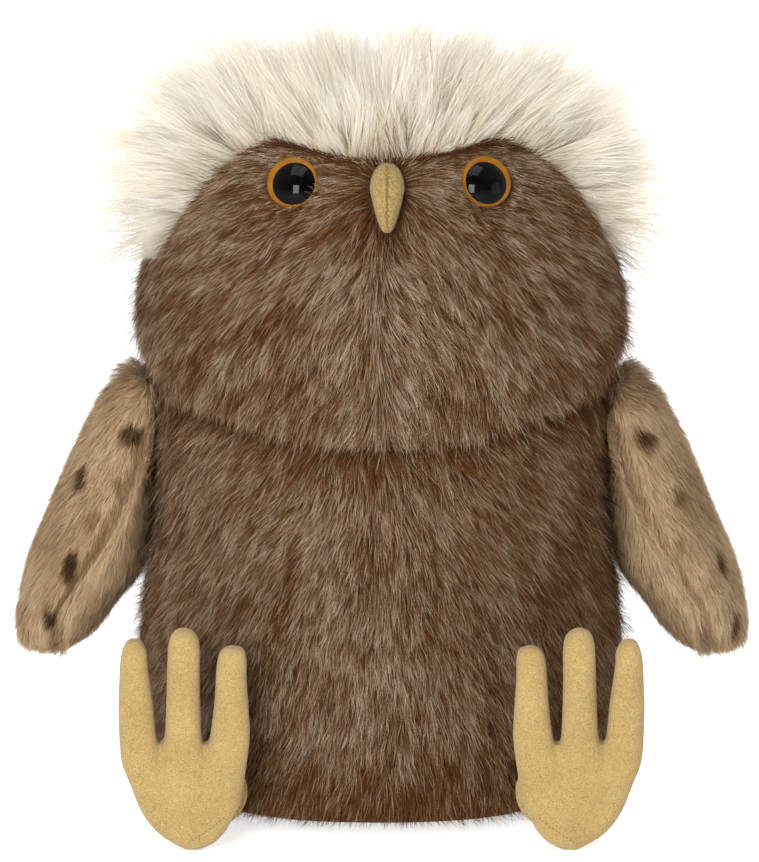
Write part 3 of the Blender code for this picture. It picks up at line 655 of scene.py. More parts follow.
def grow(name: str, strands: Strands, pile: Pile, rng: np.random.Generator) -> bpy.types.Object:
    """Short pile that lies along the cloth.

    Args:
        name: The object's name.
        strands: The strands.
        pile: How they stand.
        rng: Source of random numbers.

    Returns:
        The new object.
    """
    roots, normals, comb = strands.roots, strands.normals, strands.comb
    count = len(roots)
    clumps = Clumps.around(roots, pile.clump)
    own = clumps.own
    tangent = unit(comb - normals * dot(comb, normals))
    side = np.cross(tangent, normals)
    stray = (rng.random(count) - 0.5) * 2 * pile.wander + (own[:, 3] - 0.5) * pile.wander * 1.6
    stray = stray[:, None]
    tangent, side = (
        tangent * np.cos(stray) + side * np.sin(stray),
        side * np.cos(stray) - tangent * np.sin(stray),
    )
    share = 1 + pile.spread * (rng.random(count) * 2 - 1) + 0.5 * pile.spread * (own[:, 4] * 2 - 1)
    guard = rng.random(count) < pile.guard
    share = share * np.where(guard, pile.guard_length, 1.0)
    length = (pile.length * share * strands.lengths)[:, None]
    rise = pile.rise * share * (0.75 + 0.5 * rng.random(count))
    rise = rise * np.minimum(strands.lengths, 1.2) + strands.lift
    rise = (rise * np.where(guard, pile.guard_rise, 1.0))[:, None]
    roll = ((rng.random(count) - 0.5) * 2 * pile.roll)[:, None]
    flat = side * np.cos(roll) + normals * np.sin(roll)
    toward = clumps.centre - roots
    toward = (toward - normals * dot(toward, normals)) * pile.pull
    half = pile.width * (0.7 + 0.6 * rng.random(count))[:, None] / 2
    reach = np.sqrt(np.maximum(length**2 - rise**2, (0.3 * length) ** 2))
    spines, halves = [], []
    for s in np.linspace(0, 1, pile.segments + 1):
        spine = roots + tangent * (reach * (0.25 * s + 0.75 * s**1.3))
        spines.append(spine + normals * (rise * (1 - (1 - s) ** 1.7)) + toward * s**1.5)
        halves.append(half * (1 - s**1.6))
    jitter = (rng.random((count, 3)) - 0.5) * pile.glint
    tint = strands.tint + (own[:, 5] - 0.5) * pile.mottle
    return add_strands(name, spines, flat, halves, tint, normals + jitter)


MIX_SHARE, MIX_FIRST, MIX_SECOND, MIX_RESULT = 0, 6, 7, 2


class Nodes:
    """Small helper that builds a material's nodes."""

    def __init__(self, name: str) -> None:
        """Start a material.

        Args:
            name: Its name.
        """
        self.material = bpy.data.materials.new(name)
        self.material.use_nodes = True
        self.tree = self.material.node_tree
        self.shader = self.tree.nodes["Principled BSDF"]

    def add(self, kind: str, **values: object) -> bpy.types.Node:
        """New node.

        Args:
            kind: The node's type.
            values: Settings of the node.

        Returns:
            The node.
        """
        node = self.tree.nodes.new(kind)
        for key, value in values.items():
            setattr(node, key, value)
        return node

    def link(self, source: bpy.types.NodeSocket, target: bpy.types.NodeSocket) -> None:
        """Join two sockets."""
        self.tree.links.new(source, target)

    def ramp(self, source: bpy.types.NodeSocket, stops: tuple) -> bpy.types.NodeSocket:
        """Colours over a range.

        Args:
            source: Value from 0 to 1.
            stops: Pairs of place and colour.

        Returns:
            The colour's socket.
        """
        node = self.add("ShaderNodeValToRGB")
        band = node.color_ramp
        while len(band.elements) < len(stops):
            band.elements.new(0.5)
        for element, (place, colour) in zip(band.elements, stops):
            element.position = place
            element.color = (*colour, 1.0)
        self.link(source, node.inputs["Fac"])
        return node.outputs["Color"]

    def noise(self, scale: float, detail: float = 3.0, rough: float = 0.55) -> bpy.types.NodeSocket:
        """Noise in the object's own space.

        Args:
            scale: Patches on each metre.
            detail: How much finer noise is added.
            rough: How strong the finer noise is.

        Returns:
            The noise's value.
        """
        place = self.add("ShaderNodeTexCoord")
        node = self.add("ShaderNodeTexNoise")
        node.inputs["Scale"].default_value = scale
        node.inputs["Detail"].default_value = detail
        node.inputs["Roughness"].default_value = rough
        self.link(place.outputs["Object"], node.inputs["Vector"])
        return node.outputs["Fac"]

    def mix(
        self,
        kind: Mixing,
        share: float | bpy.types.NodeSocket,
        first: tuple | bpy.types.NodeSocket,
        second: tuple | bpy.types.NodeSocket,
    ) -> bpy.types.NodeSocket:
        """Mix of two colours.

        Args:
            kind: How they are mixed.
            share: How much of the second.
            first: First colour or socket.
            second: Second colour or socket.

        Returns:
            The mixed colour.
        """
        node = self.add("ShaderNodeMix", data_type="RGBA", blend_type=kind.value)
        for value, place in ((share, MIX_SHARE), (first, MIX_FIRST), (second, MIX_SECOND)):
            socket = node.inputs[place]
            if isinstance(value, bpy.types.NodeSocket):
                self.link(value, socket)
            elif isinstance(value, tuple):
                socket.default_value = (*value, 1.0)
            else:
                socket.default_value = value
        return node.outputs[MIX_RESULT]

    def bump(self, height: bpy.types.NodeSocket, distance: float) -> None:
        """Relief on the surface.

        Args:
            height: Value of the relief.
            distance: Its depth.
        """
        node = self.add("ShaderNodeBump")
        node.inputs["Distance"].default_value = distance
        node.inputs["Strength"].default_value = 1.0
        self.link(height, node.inputs["Height"])
        self.link(node.outputs["Normal"], self.shader.inputs["Normal"])

    def surface(self, roughness: float, specular: float, sheen: float = 0.0) -> None:
        """How the surface throws light back.

        Args:
            roughness: Roughness.
            specular: Strength of the reflection.
            sheen: Soft light at the edges, as cloth has.
        """
        self.shader.inputs["Roughness"].default_value = roughness
        self.shader.inputs["Specular IOR Level"].default_value = specular
        self.shader.inputs["Sheen Weight"].default_value = sheen


@dataclass(frozen=True)
class StrandFinish:
    """Colours of a pile: a range over the strands, and shades from root to tip that are partly the
    strands' own colour and partly painted shade deep in the pile.

    Attributes:
        name: Name of the material.
        stops: Places and colours over the strands' tints.
        root: Shade at the root, which multiplies the colour; the darker roots are partly painted
            shade deep in the pile.
        middle: Shade at the middle.
        tip: Shade at the tip.
        through: Share of the light that goes through the strands.
        under: Colour of the strands' lower part.
        cover: How much of that colour shows there.
        under_ends: Shares of a strand up to which it is covered, and from which it is bare.
        roughness: Roughness of the strands.
        specular: Strength of their reflection.
    """

    name: str
    stops: tuple
    root: tuple
    middle: tuple
    tip: tuple
    through: float = 0.25
    under: tuple = (1.0, 1.0, 1.0)
    cover: float = 0.0
    under_ends: tuple = (0.40, 0.78)
    roughness: float = 0.65
    specular: float = 0.08

    def build(self) -> bpy.types.Material:
        """Make the material.

        Returns:
            The material.
        """
        nodes = Nodes(self.name)
        place = nodes.add("ShaderNodeUVMap", uv_map=STRAND_MAP)
        parts = nodes.add("ShaderNodeSeparateXYZ")
        nodes.link(place.outputs["UV"], parts.inputs["Vector"])
        colour = nodes.ramp(parts.outputs["X"], self.stops)
        low = (self.cover, self.cover, self.cover)
        covered, bare = self.under_ends
        lower = nodes.ramp(parts.outputs["Y"], ((covered, low), (bare, (0.0, 0.0, 0.0))))
        colour = nodes.mix(Mixing.BLEND, lower, colour, self.under)
        # shades from root to tip: partly the strands' own colour, partly painted shade deep in the
        # pile
        shades = ((0.0, self.root), (0.5, self.middle), (1.0, self.tip))
        shade = nodes.ramp(parts.outputs["Y"], shades)
        colour = nodes.mix(Mixing.SHADE, 1.0, colour, shade)
        nodes.link(colour, nodes.shader.inputs["Base Color"])
        nodes.surface(self.roughness, self.specular)
        lit = nodes.add("ShaderNodeBsdfTranslucent")
        nodes.link(colour, lit.inputs["Color"])
        both = nodes.add("ShaderNodeMixShader")
        both.inputs[0].default_value = self.through
        nodes.link(nodes.shader.outputs["BSDF"], both.inputs[1])
        nodes.link(lit.outputs["BSDF"], both.inputs[2])
        nodes.link(both.outputs["Shader"], nodes.tree.nodes["Material Output"].inputs["Surface"])
        return nodes.material


@dataclass(frozen=True)
class ClothFinish:
    """Plain woven or suede cloth with a fine grain.

    Attributes:
        name: Name of the material.
        dark: Darker colour of the grain.
        light: Lighter colour of the grain.
        grain: Grains on each metre.
        relief: Depth of the grain.
        roughness: Roughness.
        sheen: Soft light at the edges.
        specular: Strength of the reflection.
        patch: Shade of the darker patches, which multiplies the colour.
        patch_grains: How many grains wide a patch is.
    """

    name: str
    dark: tuple
    light: tuple
    grain: float
    relief: float
    roughness: float = 0.85
    sheen: float = 0.15
    specular: float = 0.2
    patch: tuple = (0.86, 0.84, 0.80)
    patch_grains: float = 30

    def build(self) -> bpy.types.Material:
        """Make the material.

        Returns:
            The material.
        """
        nodes = Nodes(self.name)
        fine = nodes.noise(self.grain, 2.0, 0.7)
        wide = nodes.noise(self.grain / self.patch_grains)
        speckle = nodes.ramp(fine, ((0.30, self.dark), (0.68, self.light)))
        patch = nodes.ramp(wide, ((0.3, self.patch), (0.7, (1.0, 1.0, 1.0))))
        nodes.link(nodes.mix(Mixing.SHADE, 1.0, speckle, patch), nodes.shader.inputs["Base Color"])
        nodes.bump(fine, self.relief)
        nodes.surface(self.roughness, self.specular, self.sheen)
        return nodes.material


@dataclass(frozen=True)
class PlasticFinish:
    """Glossy moulded plastic with a slight unevenness.

    Attributes:
        name: Name of the material.
        colour: Colour.
        deep: Second colour, in soft patches.
        roughness: Roughness.
        specular: Strength of the reflection.
        patches: Patches on each metre.
    """

    name: str
    colour: tuple
    deep: tuple
    roughness: float
    specular: float = 0.3
    patches: float = 320

    def build(self) -> bpy.types.Material:
        """Make the material.

        Returns:
            The material.
        """
        nodes = Nodes(self.name)
        patch = nodes.ramp(nodes.noise(self.patches, 2.0), ((0.3, self.deep), (0.7, self.colour)))
        nodes.link(patch, nodes.shader.inputs["Base Color"])
        nodes.surface(self.roughness, self.specular)
        return nodes.material


BROWN_PILE = StrandFinish(
    name="brown_pile",
    stops=(
        (0.0, (0.060, 0.017, 0.004)),
        (0.25, (0.140, 0.052, 0.012)),
        (0.50, (0.215, 0.112, 0.044)),
        (0.75, (0.400, 0.290, 0.180)),
        (1.0, (0.640, 0.530, 0.400)),
    ),
    # dark roots: partly the strands' own colour, partly painted shade deep in the pile
    root=(0.26, 0.20, 0.16),
    middle=(0.88, 0.85, 0.82),
    tip=(1.12, 1.12, 1.12),
    under=(0.130, 0.052, 0.015),
    cover=0.80,
)
WHITE_PILE = StrandFinish(
    name="white_pile",
    stops=(
        (0.0, (0.24, 0.11, 0.04)),
        (0.12, (0.60, 0.46, 0.30)),
        (0.35, (0.84, 0.78, 0.67)),
        (0.65, (0.875, 0.840, 0.775)),
        (1.0, (0.93, 0.92, 0.90)),
    ),
    root=(0.78, 0.73, 0.64),
    middle=(0.94, 0.93, 0.905),
    tip=(1.00, 1.01, 1.02),
    through=0.55,
)
WING_PILE = StrandFinish(
    name="wing_pile",
    stops=(
        (0.0, (0.035, 0.018, 0.009)),
        (0.22, (0.105, 0.055, 0.028)),
        (0.45, (0.290, 0.175, 0.080)),
        (0.75, (0.530, 0.375, 0.220)),
        (1.0, (0.700, 0.550, 0.370)),
    ),
    root=(0.66, 0.60, 0.54),
    middle=(0.95, 0.93, 0.90),
    tip=(1.04, 1.04, 1.04),
)
BROWN_CLOTH = ClothFinish("brown_cloth", (0.070, 0.026, 0.008), (0.13, 0.056, 0.020), 900, 0.0004)
CREAM_CLOTH = ClothFinish("cream_cloth", (0.50, 0.40, 0.28), (0.68, 0.59, 0.46), 900, 0.0004)
TAN_CLOTH = ClothFinish("tan_cloth", (0.16, 0.10, 0.05), (0.30, 0.20, 0.11), 900, 0.0004)
SUEDE = ClothFinish("suede", (0.265, 0.170, 0.054), (0.490, 0.352, 0.142), 1900, 0.00050)
BEAK_CLOTH = ClothFinish("beak_cloth", (0.175, 0.112, 0.028), (0.420, 0.302, 0.100), 1150, 0.0011)
THREAD = ClothFinish("thread", (0.12, 0.065, 0.018), (0.22, 0.13, 0.04), 2500, 0.0001)
AMBER = PlasticFinish("amber_plastic", (0.230, 0.092, 0.005), (0.175, 0.064, 0.003), 0.40, 0.15)
BLACK = PlasticFinish("black_plastic", (0.002, 0.002, 0.002), (0.001, 0.001, 0.001), 0.04, 0.09)
NYLON = PlasticFinish("nylon_plastic", (0.80, 0.80, 0.78), (0.72, 0.72, 0.70), 0.4)


class Wardrobe:
    """All materials, made once."""

    def __init__(self) -> None:
        """Make the materials."""
        kinds = (
            BROWN_PILE, WHITE_PILE, WING_PILE, BROWN_CLOTH, CREAM_CLOTH, TAN_CLOTH,
            SUEDE, BEAK_CLOTH, THREAD, AMBER, BLACK, NYLON,
        )
        self.materials = {Finish(kind.name): kind.build() for kind in kinds}

    def dress(self, item: bpy.types.Object, finish: Finish, body: str) -> bpy.types.Object:
        """Give a piece its material and its body.

        Args:
            item: The piece.
            finish: Its material.
            body: Body that it rides on.

        Returns:
            The same piece.
        """
        item.data.materials.clear()
        item.data.materials.append(self.materials[finish])
        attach(item, body)
        LOG.info("%s: %d faces on %s", item.name, len(item.data.polygons), body)
        return item


@dataclass(frozen=True)
class NeckBall:
    """Ball on which head and torso meet.

    Attributes:
        height: Height of its centre.
        radius: Its radius.
    """

    height: float = 0.241
    radius: float = 0.120

    @property
    def centre(self) -> Array:
        """The ball's centre."""
        return np.array([0.0, 0.0, self.height])

    def dish(self, rim: Array, rows: int, radius: float) -> Array:
        """Rings from a rim to near the middle over the bottom of the ball.

        Args:
            rim: Points of the rim.
            rows: How many rings.
            radius: Radius to follow.

        Returns:
            The rings.
        """
        rings = []
        for share in np.linspace(1, 0, rows + 2)[1:-1]:
            x, y = rim[:, 0] * share, rim[:, 1] * share
            z = self.height - np.sqrt(radius**2 - x**2 - y**2)
            rings.append(np.stack([x, y, z], axis=-1))
        return np.array(rings)


NECK = NeckBall()


@dataclass
class Torso:
    """Body: brown pile cloth over a stuffed form.

    Attributes:
        height: Height of the rows' top.
        width: Half width.
        front: Depth to the front.
        back: Depth to the back.
        power: How square its outline is, seen from above.
        lumps: Height of the filling's lumps.
        cloth_depth: How far the cloth lies below the tips of the pile.
        columns: Points round the cloth.
        shares: Rows from the bottom up: height, half width, front and back, as shares.
        pile: Its pile.
    """

    height: float = 0.165
    width: float = 0.086
    front: float = 0.0715
    back: float = 0.070
    power: float = 2.2
    lumps: float = 0.0012
    cloth_depth: float = 0.0036
    columns: int = 160
    shares: tuple = (
        (0.000, 0.700, 0.700, 0.715),
        (0.014, 0.795, 0.800, 0.815),
        (0.048, 0.880, 0.875, 0.890),
        (0.109, 0.948, 0.938, 0.945),
        (0.212, 0.988, 0.980, 0.985),
        (0.333, 1.000, 1.000, 1.000),
        (0.455, 0.988, 1.000, 1.000),
        (0.576, 0.955, 0.988, 0.985),
        (0.685, 0.934, 0.975, 0.960),
        (0.800, 0.936, 0.958, 0.943),
        (0.909, 0.942, 0.924, 0.928),
        (1.000, 0.930, 0.880, 0.886),
    )
    pile: Pile = Pile(
        length=0.0100, width=0.00025, rise=0.0042, density=2.6e6, clump=0.0030, pull=0.38,
        glint=1.0, mottle=0.20, wander=0.28,
    )

    def form(self) -> Form:
        """The torso's shape."""
        rows = np.array(self.shares) * (self.height, self.width, self.front, self.back)
        return Form(rows, self.power, self.lumps)

    def comb(self, points: Array) -> Array:
        """Directions in which the pile lies.

        Args:
            points: Roots.

        Returns:
            Directions in rows.
        """
        x, y, z = points.T
        centre = x / np.sqrt(x**2 + 0.005**2)
        height = ease((z - 0.02) / 0.12)
        slant = blend(0.30, 0.60, height) * ease((np.abs(x) + 0.012) / 0.05)
        slant = np.where(y > 0, slant * ease(1 - y / 0.05) + 0.15, slant)
        turn = 0.30 * noise(points, 0.028, 31) + 0.18 * noise(points, 0.011, 32)
        return np.stack([centre * slant + turn, -0.1 * np.sign(y), -np.ones_like(x)], axis=-1)

    def tint(self, points: Array, rng: np.random.Generator) -> Array:
        """Tint of each strand, with painted shade toward the bottom, on the right side and along the
        neck line.

        Args:
            points: Roots.
            rng: Source of random numbers.

        Returns:
            Tints from 0 to 1.
        """
        x, _, z = points.T
        drawn = points * [1.0, 1.0, 0.22]
        pale = 0.48 + 0.18 * noise(points, 0.018, 41) + 0.40 * noise(drawn, 0.0020, 42)
        pale += 0.22 * near(x, 0.030) * ease((0.150 - z) / 0.06) * ease((z - 0.02) / 0.04)
        # painted shade: darker towards the bottom, and darker on the right side than on the left,
        # away from the key light
        pale -= 0.29 * ease((0.05 - z) / 0.05) + 0.08 * ease(x / 0.08) - 0.06 * ease(-x / 0.05)
        # painted shadow of the head's lower edge on the torso, along the neck line
        rim = np.linalg.norm(points - NECK.centre, axis=1) - NECK.radius
        pale -= 0.17 * near(rim, 0.009) * (0.7 + 0.3 * np.cos((x + 0.02) / 0.03))
        return frosted(pale, rng)

    def build(self, wardrobe: Wardrobe) -> None:
        """Make the torso's cloth and pile.

        Args:
            wardrobe: The materials.
        """
        form = self.form()
        columns = self.columns
        angle = np.arange(columns) * math.tau / columns
        rim = form.meet_ball(angle, NECK.centre, NECK.radius + 0.0005)
        side = form.grid(columns, np.zeros(columns), rim, 64, self.cloth_depth)
        flat = side[0].copy()
        flat[:, 2] = 0.0008
        side[:, :, 2] = np.maximum(side[:, :, 2], 0.0008)
        top = NECK.dish(side[-1], 10, NECK.radius + self.cloth_depth)
        pelt = skin_object("torso_cloth", np.concatenate([flat[None], side, top]))
        wardrobe.dress(pelt, Finish.BROWN_CLOTH, "torso")
        names = ["belly_panel_left", "belly_panel_right", "back_panel_left", "back_panel_right"]
        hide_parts(*names, "torso_stuffing", "base_panel", "bean_pouch")
        rng = np.random.default_rng(101)
        turn, place = scatter(form, self.pile.density, rng, 0.0, form.last)
        points, normals = form.at(turn, place)
        keep = np.linalg.norm(points - NECK.centre, axis=1) > NECK.radius + 0.001
        points, normals = points[keep], normals[keep]
        roots = points - normals * self.cloth_depth
        lengths = 1 - 0.55 * ease((0.016 - roots[:, 2]) / 0.016)
        comb = self.comb(points)
        low = ease((0.02 - roots[:, 2]) / 0.02)[:, None]
        comb = comb * (1 - low) + np.array([0.0, 0.0, -0.25]) * low + unit(roots * [1, 1, 0]) * low
        strands = Strands(roots, normals, comb, self.tint(points, rng), lengths, np.zeros(len(roots)))
        for part, mask in (("front", points[:, 1] < 0), ("back", points[:, 1] >= 0)):
            item = grow(f"torso_pile_{part}", strands.only(mask), self.pile, rng)
            keep_above_floor(item)
            wardrobe.dress(item, Finish.BROWN_PILE, "torso")


def frosted(pale: Array, rng: np.random.Generator) -> Array:
    """Tints of a brown pile in which pale hairs stand among dark ones.

    Args:
        pale: Share of pale hairs at each root.
        rng: Source of random numbers.

    Returns:
        Tints.
    """
    light = rng.random(len(pale)) < pale
    spread = 0.10 * rng.standard_normal(len(pale))
    return np.where(light, 0.76 + 0.16 * (pale - 0.5), 0.22 + 0.18 * (pale - 0.5)) + spread


def keep_above_floor(item: bpy.types.Object) -> None:
    """Lift what would go through the floor.

    Args:
        item: A piece with a mesh.
    """
    count = len(item.data.vertices)
    points = np.empty(count * 3, dtype=np.float32)
    item.data.vertices.foreach_get("co", points)
    points = points.reshape(-1, 3)
    points[:, 2] = np.maximum(points[:, 2], FLOOR_GAP)
    item.data.vertices.foreach_set("co", points.ravel())
    item.data.update()


@dataclass
class Head:
    """Head: brown pile on the face and the back, long white pile on the crest.

    Attributes:
        bottom: Height of the rows' bottom.
        height: Height of the head above that.
        width: Half width.
        front: Depth to the front.
        back: Depth to the back.
        power: How square its outline is, seen from above.
        lumps: Height of the filling's lumps.
        cloth_depth: How far the cloth lies below the tips of the brown pile.
        columns: Points round the cloth.
        brow_dip: Height of the crest's edge over the beak.
        brow_peak: Height of the crest's edge over the eyes.
        brow_side: Height of the crest's edge at the sides.
        crest_back: Height of the crest's edge at the back.
        peak_turn: Angle of the peaks.
        side_turn: Angle at which the edge is lowest.
        skew: How much further round the edge runs on the right.
        ceiling: Height that no strand grows past.
        rear: Place along Y that no strand grows past.
        face_shift: How far the beak sits to one side.
        eye_shift: How far the eyes sit to that side.
        heart: Height that the crest's strands point away from.
        shares: Rows from the bottom up: height, half width, front and back, as shares.
        pile: The brown pile.
        crest: The white pile.
    """

    bottom: float = 0.138
    height: float = 0.1185
    width: float = 0.0875
    front: float = 0.078
    back: float = 0.072
    power: float = 2.35
    lumps: float = 0.0010
    cloth_depth: float = 0.0036
    columns: int = 160
    brow_dip: float = 0.243
    brow_peak: float = 0.2495
    brow_side: float = 0.200
    crest_back: float = 0.214
    peak_turn: float = math.radians(30)
    side_turn: float = math.radians(82)
    skew: float = 0.14
    ceiling: float = 0.2898
    rear: float = 0.0895
    face_shift: float = 0.002
    eye_shift: float = 0.0029
    heart: float = 0.213
    shares: tuple = (
        (0.000, 0.834, 0.821, 0.889),
        (0.118, 0.908, 0.916, 0.953),
        (0.270, 0.988, 0.985, 0.990),
        (0.414, 0.990, 1.000, 1.000),
        (0.565, 0.962, 0.978, 0.986),
        (0.692, 0.934, 0.940, 0.951),
        (0.802, 0.883, 0.888, 0.893),
        (0.886, 0.815, 0.818, 0.812),
        (0.945, 0.715, 0.722, 0.700),
        (0.983, 0.510, 0.520, 0.505),
        (0.996, 0.255, 0.260, 0.255),
        (1.000, 0.000, 0.000, 0.000),
    )
    pile: Pile = Pile(
        length=0.0095, width=0.00025, rise=0.0042, density=2.6e6, clump=0.0030, pull=0.38,
        glint=1.0, mottle=0.20, wander=0.28,
    )
    crest: LongPile = LongPile(
        length=0.0335, width=0.00024, density=2.9e6, segments=4,
        clump=0.0040, pull=0.35, roll=0.9, wander=0.28, spread=0.12, glint=0.6, mottle=0.10,
    )

    def form(self) -> Form:
        """The head's shape.

        Returns:
            The form.
        """
        rows = np.array(self.shares) * (self.height, self.width, self.front, self.back)
        rows[:, 0] += self.bottom
        return Form(rows, self.power, self.lumps)

    def hair_height(self, turn: Array) -> Array:
        """Height of the crest's lower edge.

        Args:
            turn: Angles round the head.

        Returns:
            Heights.
        """
        turn = (turn + math.pi) % math.tau - math.pi
        turn = np.abs(turn) - self.skew * np.maximum(np.sin(turn), 0.0)
        over = blend(self.brow_dip, self.brow_peak, ease(turn / self.peak_turn))
        share = (turn - self.peak_turn) / (self.side_turn - self.peak_turn)
        fall = blend(self.brow_peak, self.brow_side, ease(share))
        share = (turn - self.side_turn) / (math.pi - self.side_turn)
        behind = blend(self.brow_side, self.crest_back, ease(share))
        return np.where(turn < self.peak_turn, over, np.where(turn < self.side_turn, fall, behind))

    def comb(self, points: Array) -> Array:
        """Directions in which the brown pile lies: away from the beak, then down.

        Args:
            points: Roots.

        Returns:
            Directions in rows.
        """
        x, y, z = points.T
        away = unit(np.stack([x - self.face_shift, 0 * x, z - 0.232], axis=-1))
        centre = x / np.sqrt(x**2 + 0.004**2)
        seam = near(x, 0.022) * ease((0.225 - z) / 0.02)
        away[:, 0] += 0.75 * centre * seam
        away[:, 2] -= 0.45
        down = np.stack([0.25 * centre, 0.2 + 0 * y, -np.ones_like(x)], axis=-1)
        share = ease((-y - 0.005) / 0.035)[:, None]
        turn = 0.28 * noise(points, 0.026, 33) + 0.16 * noise(points, 0.010, 34)
        field = unit(down) * (1 - share) + unit(away) * share
        field[:, 0] += turn
        field[:, 2] += 0.5 * turn
        return field

    def tint(self, points: Array, turn: Array, rng: np.random.Generator) -> Array:
        """Tint of each brown strand.

        Args:
            points: Roots.
            turn: Their angles round the head.
            rng: Source of random numbers.

        Returns:
            Tints from 0 to 1.
        """
        x, z = points[:, 0] - self.face_shift, points[:, 2]
        around, outward = np.arctan2(x, 0.236 - z), np.hypot(x, z - 0.236)
        fan = np.stack([around * 0.05, outward * 0.22, 0 * x], axis=-1)
        drawn = np.where(points[:, 1:2] < -0.012, fan, points * [1.0, 1.0, 0.22])
        pale = 0.50 + 0.18 * noise(points, 0.017, 43) + 0.40 * noise(drawn, 0.0020, 44)
        pale += 0.16 * near(x, 0.016) * ease((0.222 - z) / 0.02)
        edge = self.hair_height(turn) - z
        front = ease((np.cos(turn) - 0.35) / 0.3)
        line = near(edge, 0.0012) * front
        pale += 0.26 * near(edge, 0.0048, 0.0070) * front
        pale -= 0.26 * near(x, 0.018) * near(z, 0.008, 0.237)
        for side in Side:
            middle = self.eye_shift + side * EYE_SPACING / 2
            away = np.hypot(points[:, 0] - middle, z - EYE_HEIGHT)
            pale += 0.18 * near(away, 0.0035, 0.0115) * front
        return frosted(pale - 1.4 * line, rng) - 0.03 * line

    def crest_comb(self, points: Array, edge: Array) -> Array:
        """Directions in which the long white pile stands: up on top, outward at the sides.

        Args:
            points: Roots.
            edge: How far the roots lie above the crest's lower edge.

        Returns:
            Directions in rows.
        """
        field = unit((points - [0.0, 0.0, self.heart]) * [1.0, 0.42, 1.0] + [0.0, 0.0, 0.008])
        low = near(edge, 0.012) * ease((np.abs(points[:, 0]) - 0.05) / 0.03)
        field[:, 2] -= 0.40 * low
        stray = np.stack([noise(points, 0.020, seed) for seed in (51, 52, 53)], axis=-1)
        return unit(field + 0.20 * stray)

    def build(self, wardrobe: Wardrobe) -> None:
        """Make the head's cloth and pile.

        Args:
            wardrobe: The materials.
        """
        form = self.form()
        columns = self.columns
        angle = np.arange(columns) * math.tau / columns
        rim = form.meet_ball(angle, NECK.centre, NECK.radius)
        edge = form.place_at(self.hair_height(angle))
        side = form.grid(columns, rim, edge, 60, self.cloth_depth)
        bottom = NECK.dish(side[0], 10, NECK.radius - 0.0002)[::-1]
        pelt = skin_object("head_cloth", np.concatenate([bottom, side]))
        wardrobe.dress(pelt, Finish.BROWN_CLOTH, "head")
        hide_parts("face_panel", "head_back_panel", "head_stuffing")
        top = form.grid(columns, edge, np.full(columns, form.last), 40, self.cloth_depth)
        crown = skin_object("crest_cloth", top)
        wardrobe.dress(crown, Finish.CREAM_CLOTH, "head")
        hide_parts("crest_panel")
        self.add_pile(form, wardrobe)
        self.add_crest(form, wardrobe)

    def add_pile(self, form: Form, wardrobe: Wardrobe) -> None:
        """Grow the brown pile.

        Args:
            form: The head's shape.
            wardrobe: The materials.
        """
        rng = np.random.default_rng(102)
        turn, place = scatter(form, self.pile.density, rng, 0.0, form.last)
        points, normals = form.at(turn, place)
        keep = np.linalg.norm(points - NECK.centre, axis=1) < NECK.radius - 0.0005
        keep &= points[:, 2] < self.hair_height(turn) + 0.001
        lengths, lift = np.ones(len(points)), np.zeros(len(points))
        for side in Side:
            frame_at = eye_frame(form, self.eye_shift, side)
            local = (points - frame_at.place) @ frame_at.axes.T
            away = np.hypot(local[:, 0], local[:, 1])
            inner = ease(0.5 - (side * local[:, 0] + 0.5 * local[:, 1]) / (1.6 * EYE_RADIUS))
            keep &= (away > 0.0091 - 0.0008 * inner) | (points[:, 1] > 0)
            lengths *= blend(0.45, 1.0, ease((away - 0.009) / 0.014))
            lift += 0.0026 * inner * ease((0.0130 - away) / 0.004) * (points[:, 1] < 0)
        keep &= ~beak_covers(points, self.face_shift)
        points, normals, turn = points[keep], normals[keep], turn[keep]
        lengths, lift = lengths[keep], lift[keep]
        roots = points - normals * self.cloth_depth
        edge = self.hair_height(turn) - points[:, 2]
        short = blend(0.85, 0.55, ease((np.cos(turn) - 0.2) / 0.3))
        lengths *= blend(short, 1.0, ease(edge / 0.012))
        tint = self.tint(points, turn, rng)
        strands = Strands(roots, normals, self.comb(points), tint, lengths, lift)
        for part, mask in (("front", points[:, 1] < 0), ("back", points[:, 1] >= 0)):
            item = grow(f"head_pile_{part}", strands.only(mask), self.pile, rng)
            wardrobe.dress(item, Finish.BROWN_PILE, "head")

    def add_crest(self, form: Form, wardrobe: Wardrobe) -> None:
        """Grow the long white pile.

        Args:
            form: The head's shape.
            wardrobe: The materials.
        """
        rng = np.random.default_rng(103)
        turn, place = scatter(form, self.crest.density, rng, 2.5, form.last)
        points, normals = form.at(turn, place)
        keep = points[:, 2] > self.hair_height(turn) + 0.0003
        points, normals, turn = points[keep], normals[keep], turn[keep]
        roots = points - normals * self.cloth_depth
        edge = points[:, 2] - self.hair_height(turn)
        comb = self.crest_comb(points, edge)
        lengths = self.crest_lengths(points, edge, rng)
        tint = 0.70 + 0.08 * noise(points, 0.012, 61) + 0.09 * rng.standard_normal(len(points))
        tint -= 0.16 * near(edge, 0.006)
        brow = near(points[:, 0], 0.011, self.face_shift) * near(edge, 0.006)
        dark = rng.random(len(points)) < 0.4 * brow * (points[:, 1] < 0)
        tint = np.where(dark, 0.02 + 0.12 * rng.random(len(points)), tint)
        strands = Strands(roots, normals, comb, tint, lengths, np.zeros(len(roots)))
        limits = (self.ceiling, self.rear)
        for part, mask in (("left", points[:, 0] < 0), ("right", points[:, 0] >= 0)):
            item = grow_long(f"crest_pile_{part}", strands.only(mask), self.crest, rng, limits)
            wardrobe.dress(item, Finish.WHITE_PILE, "head")

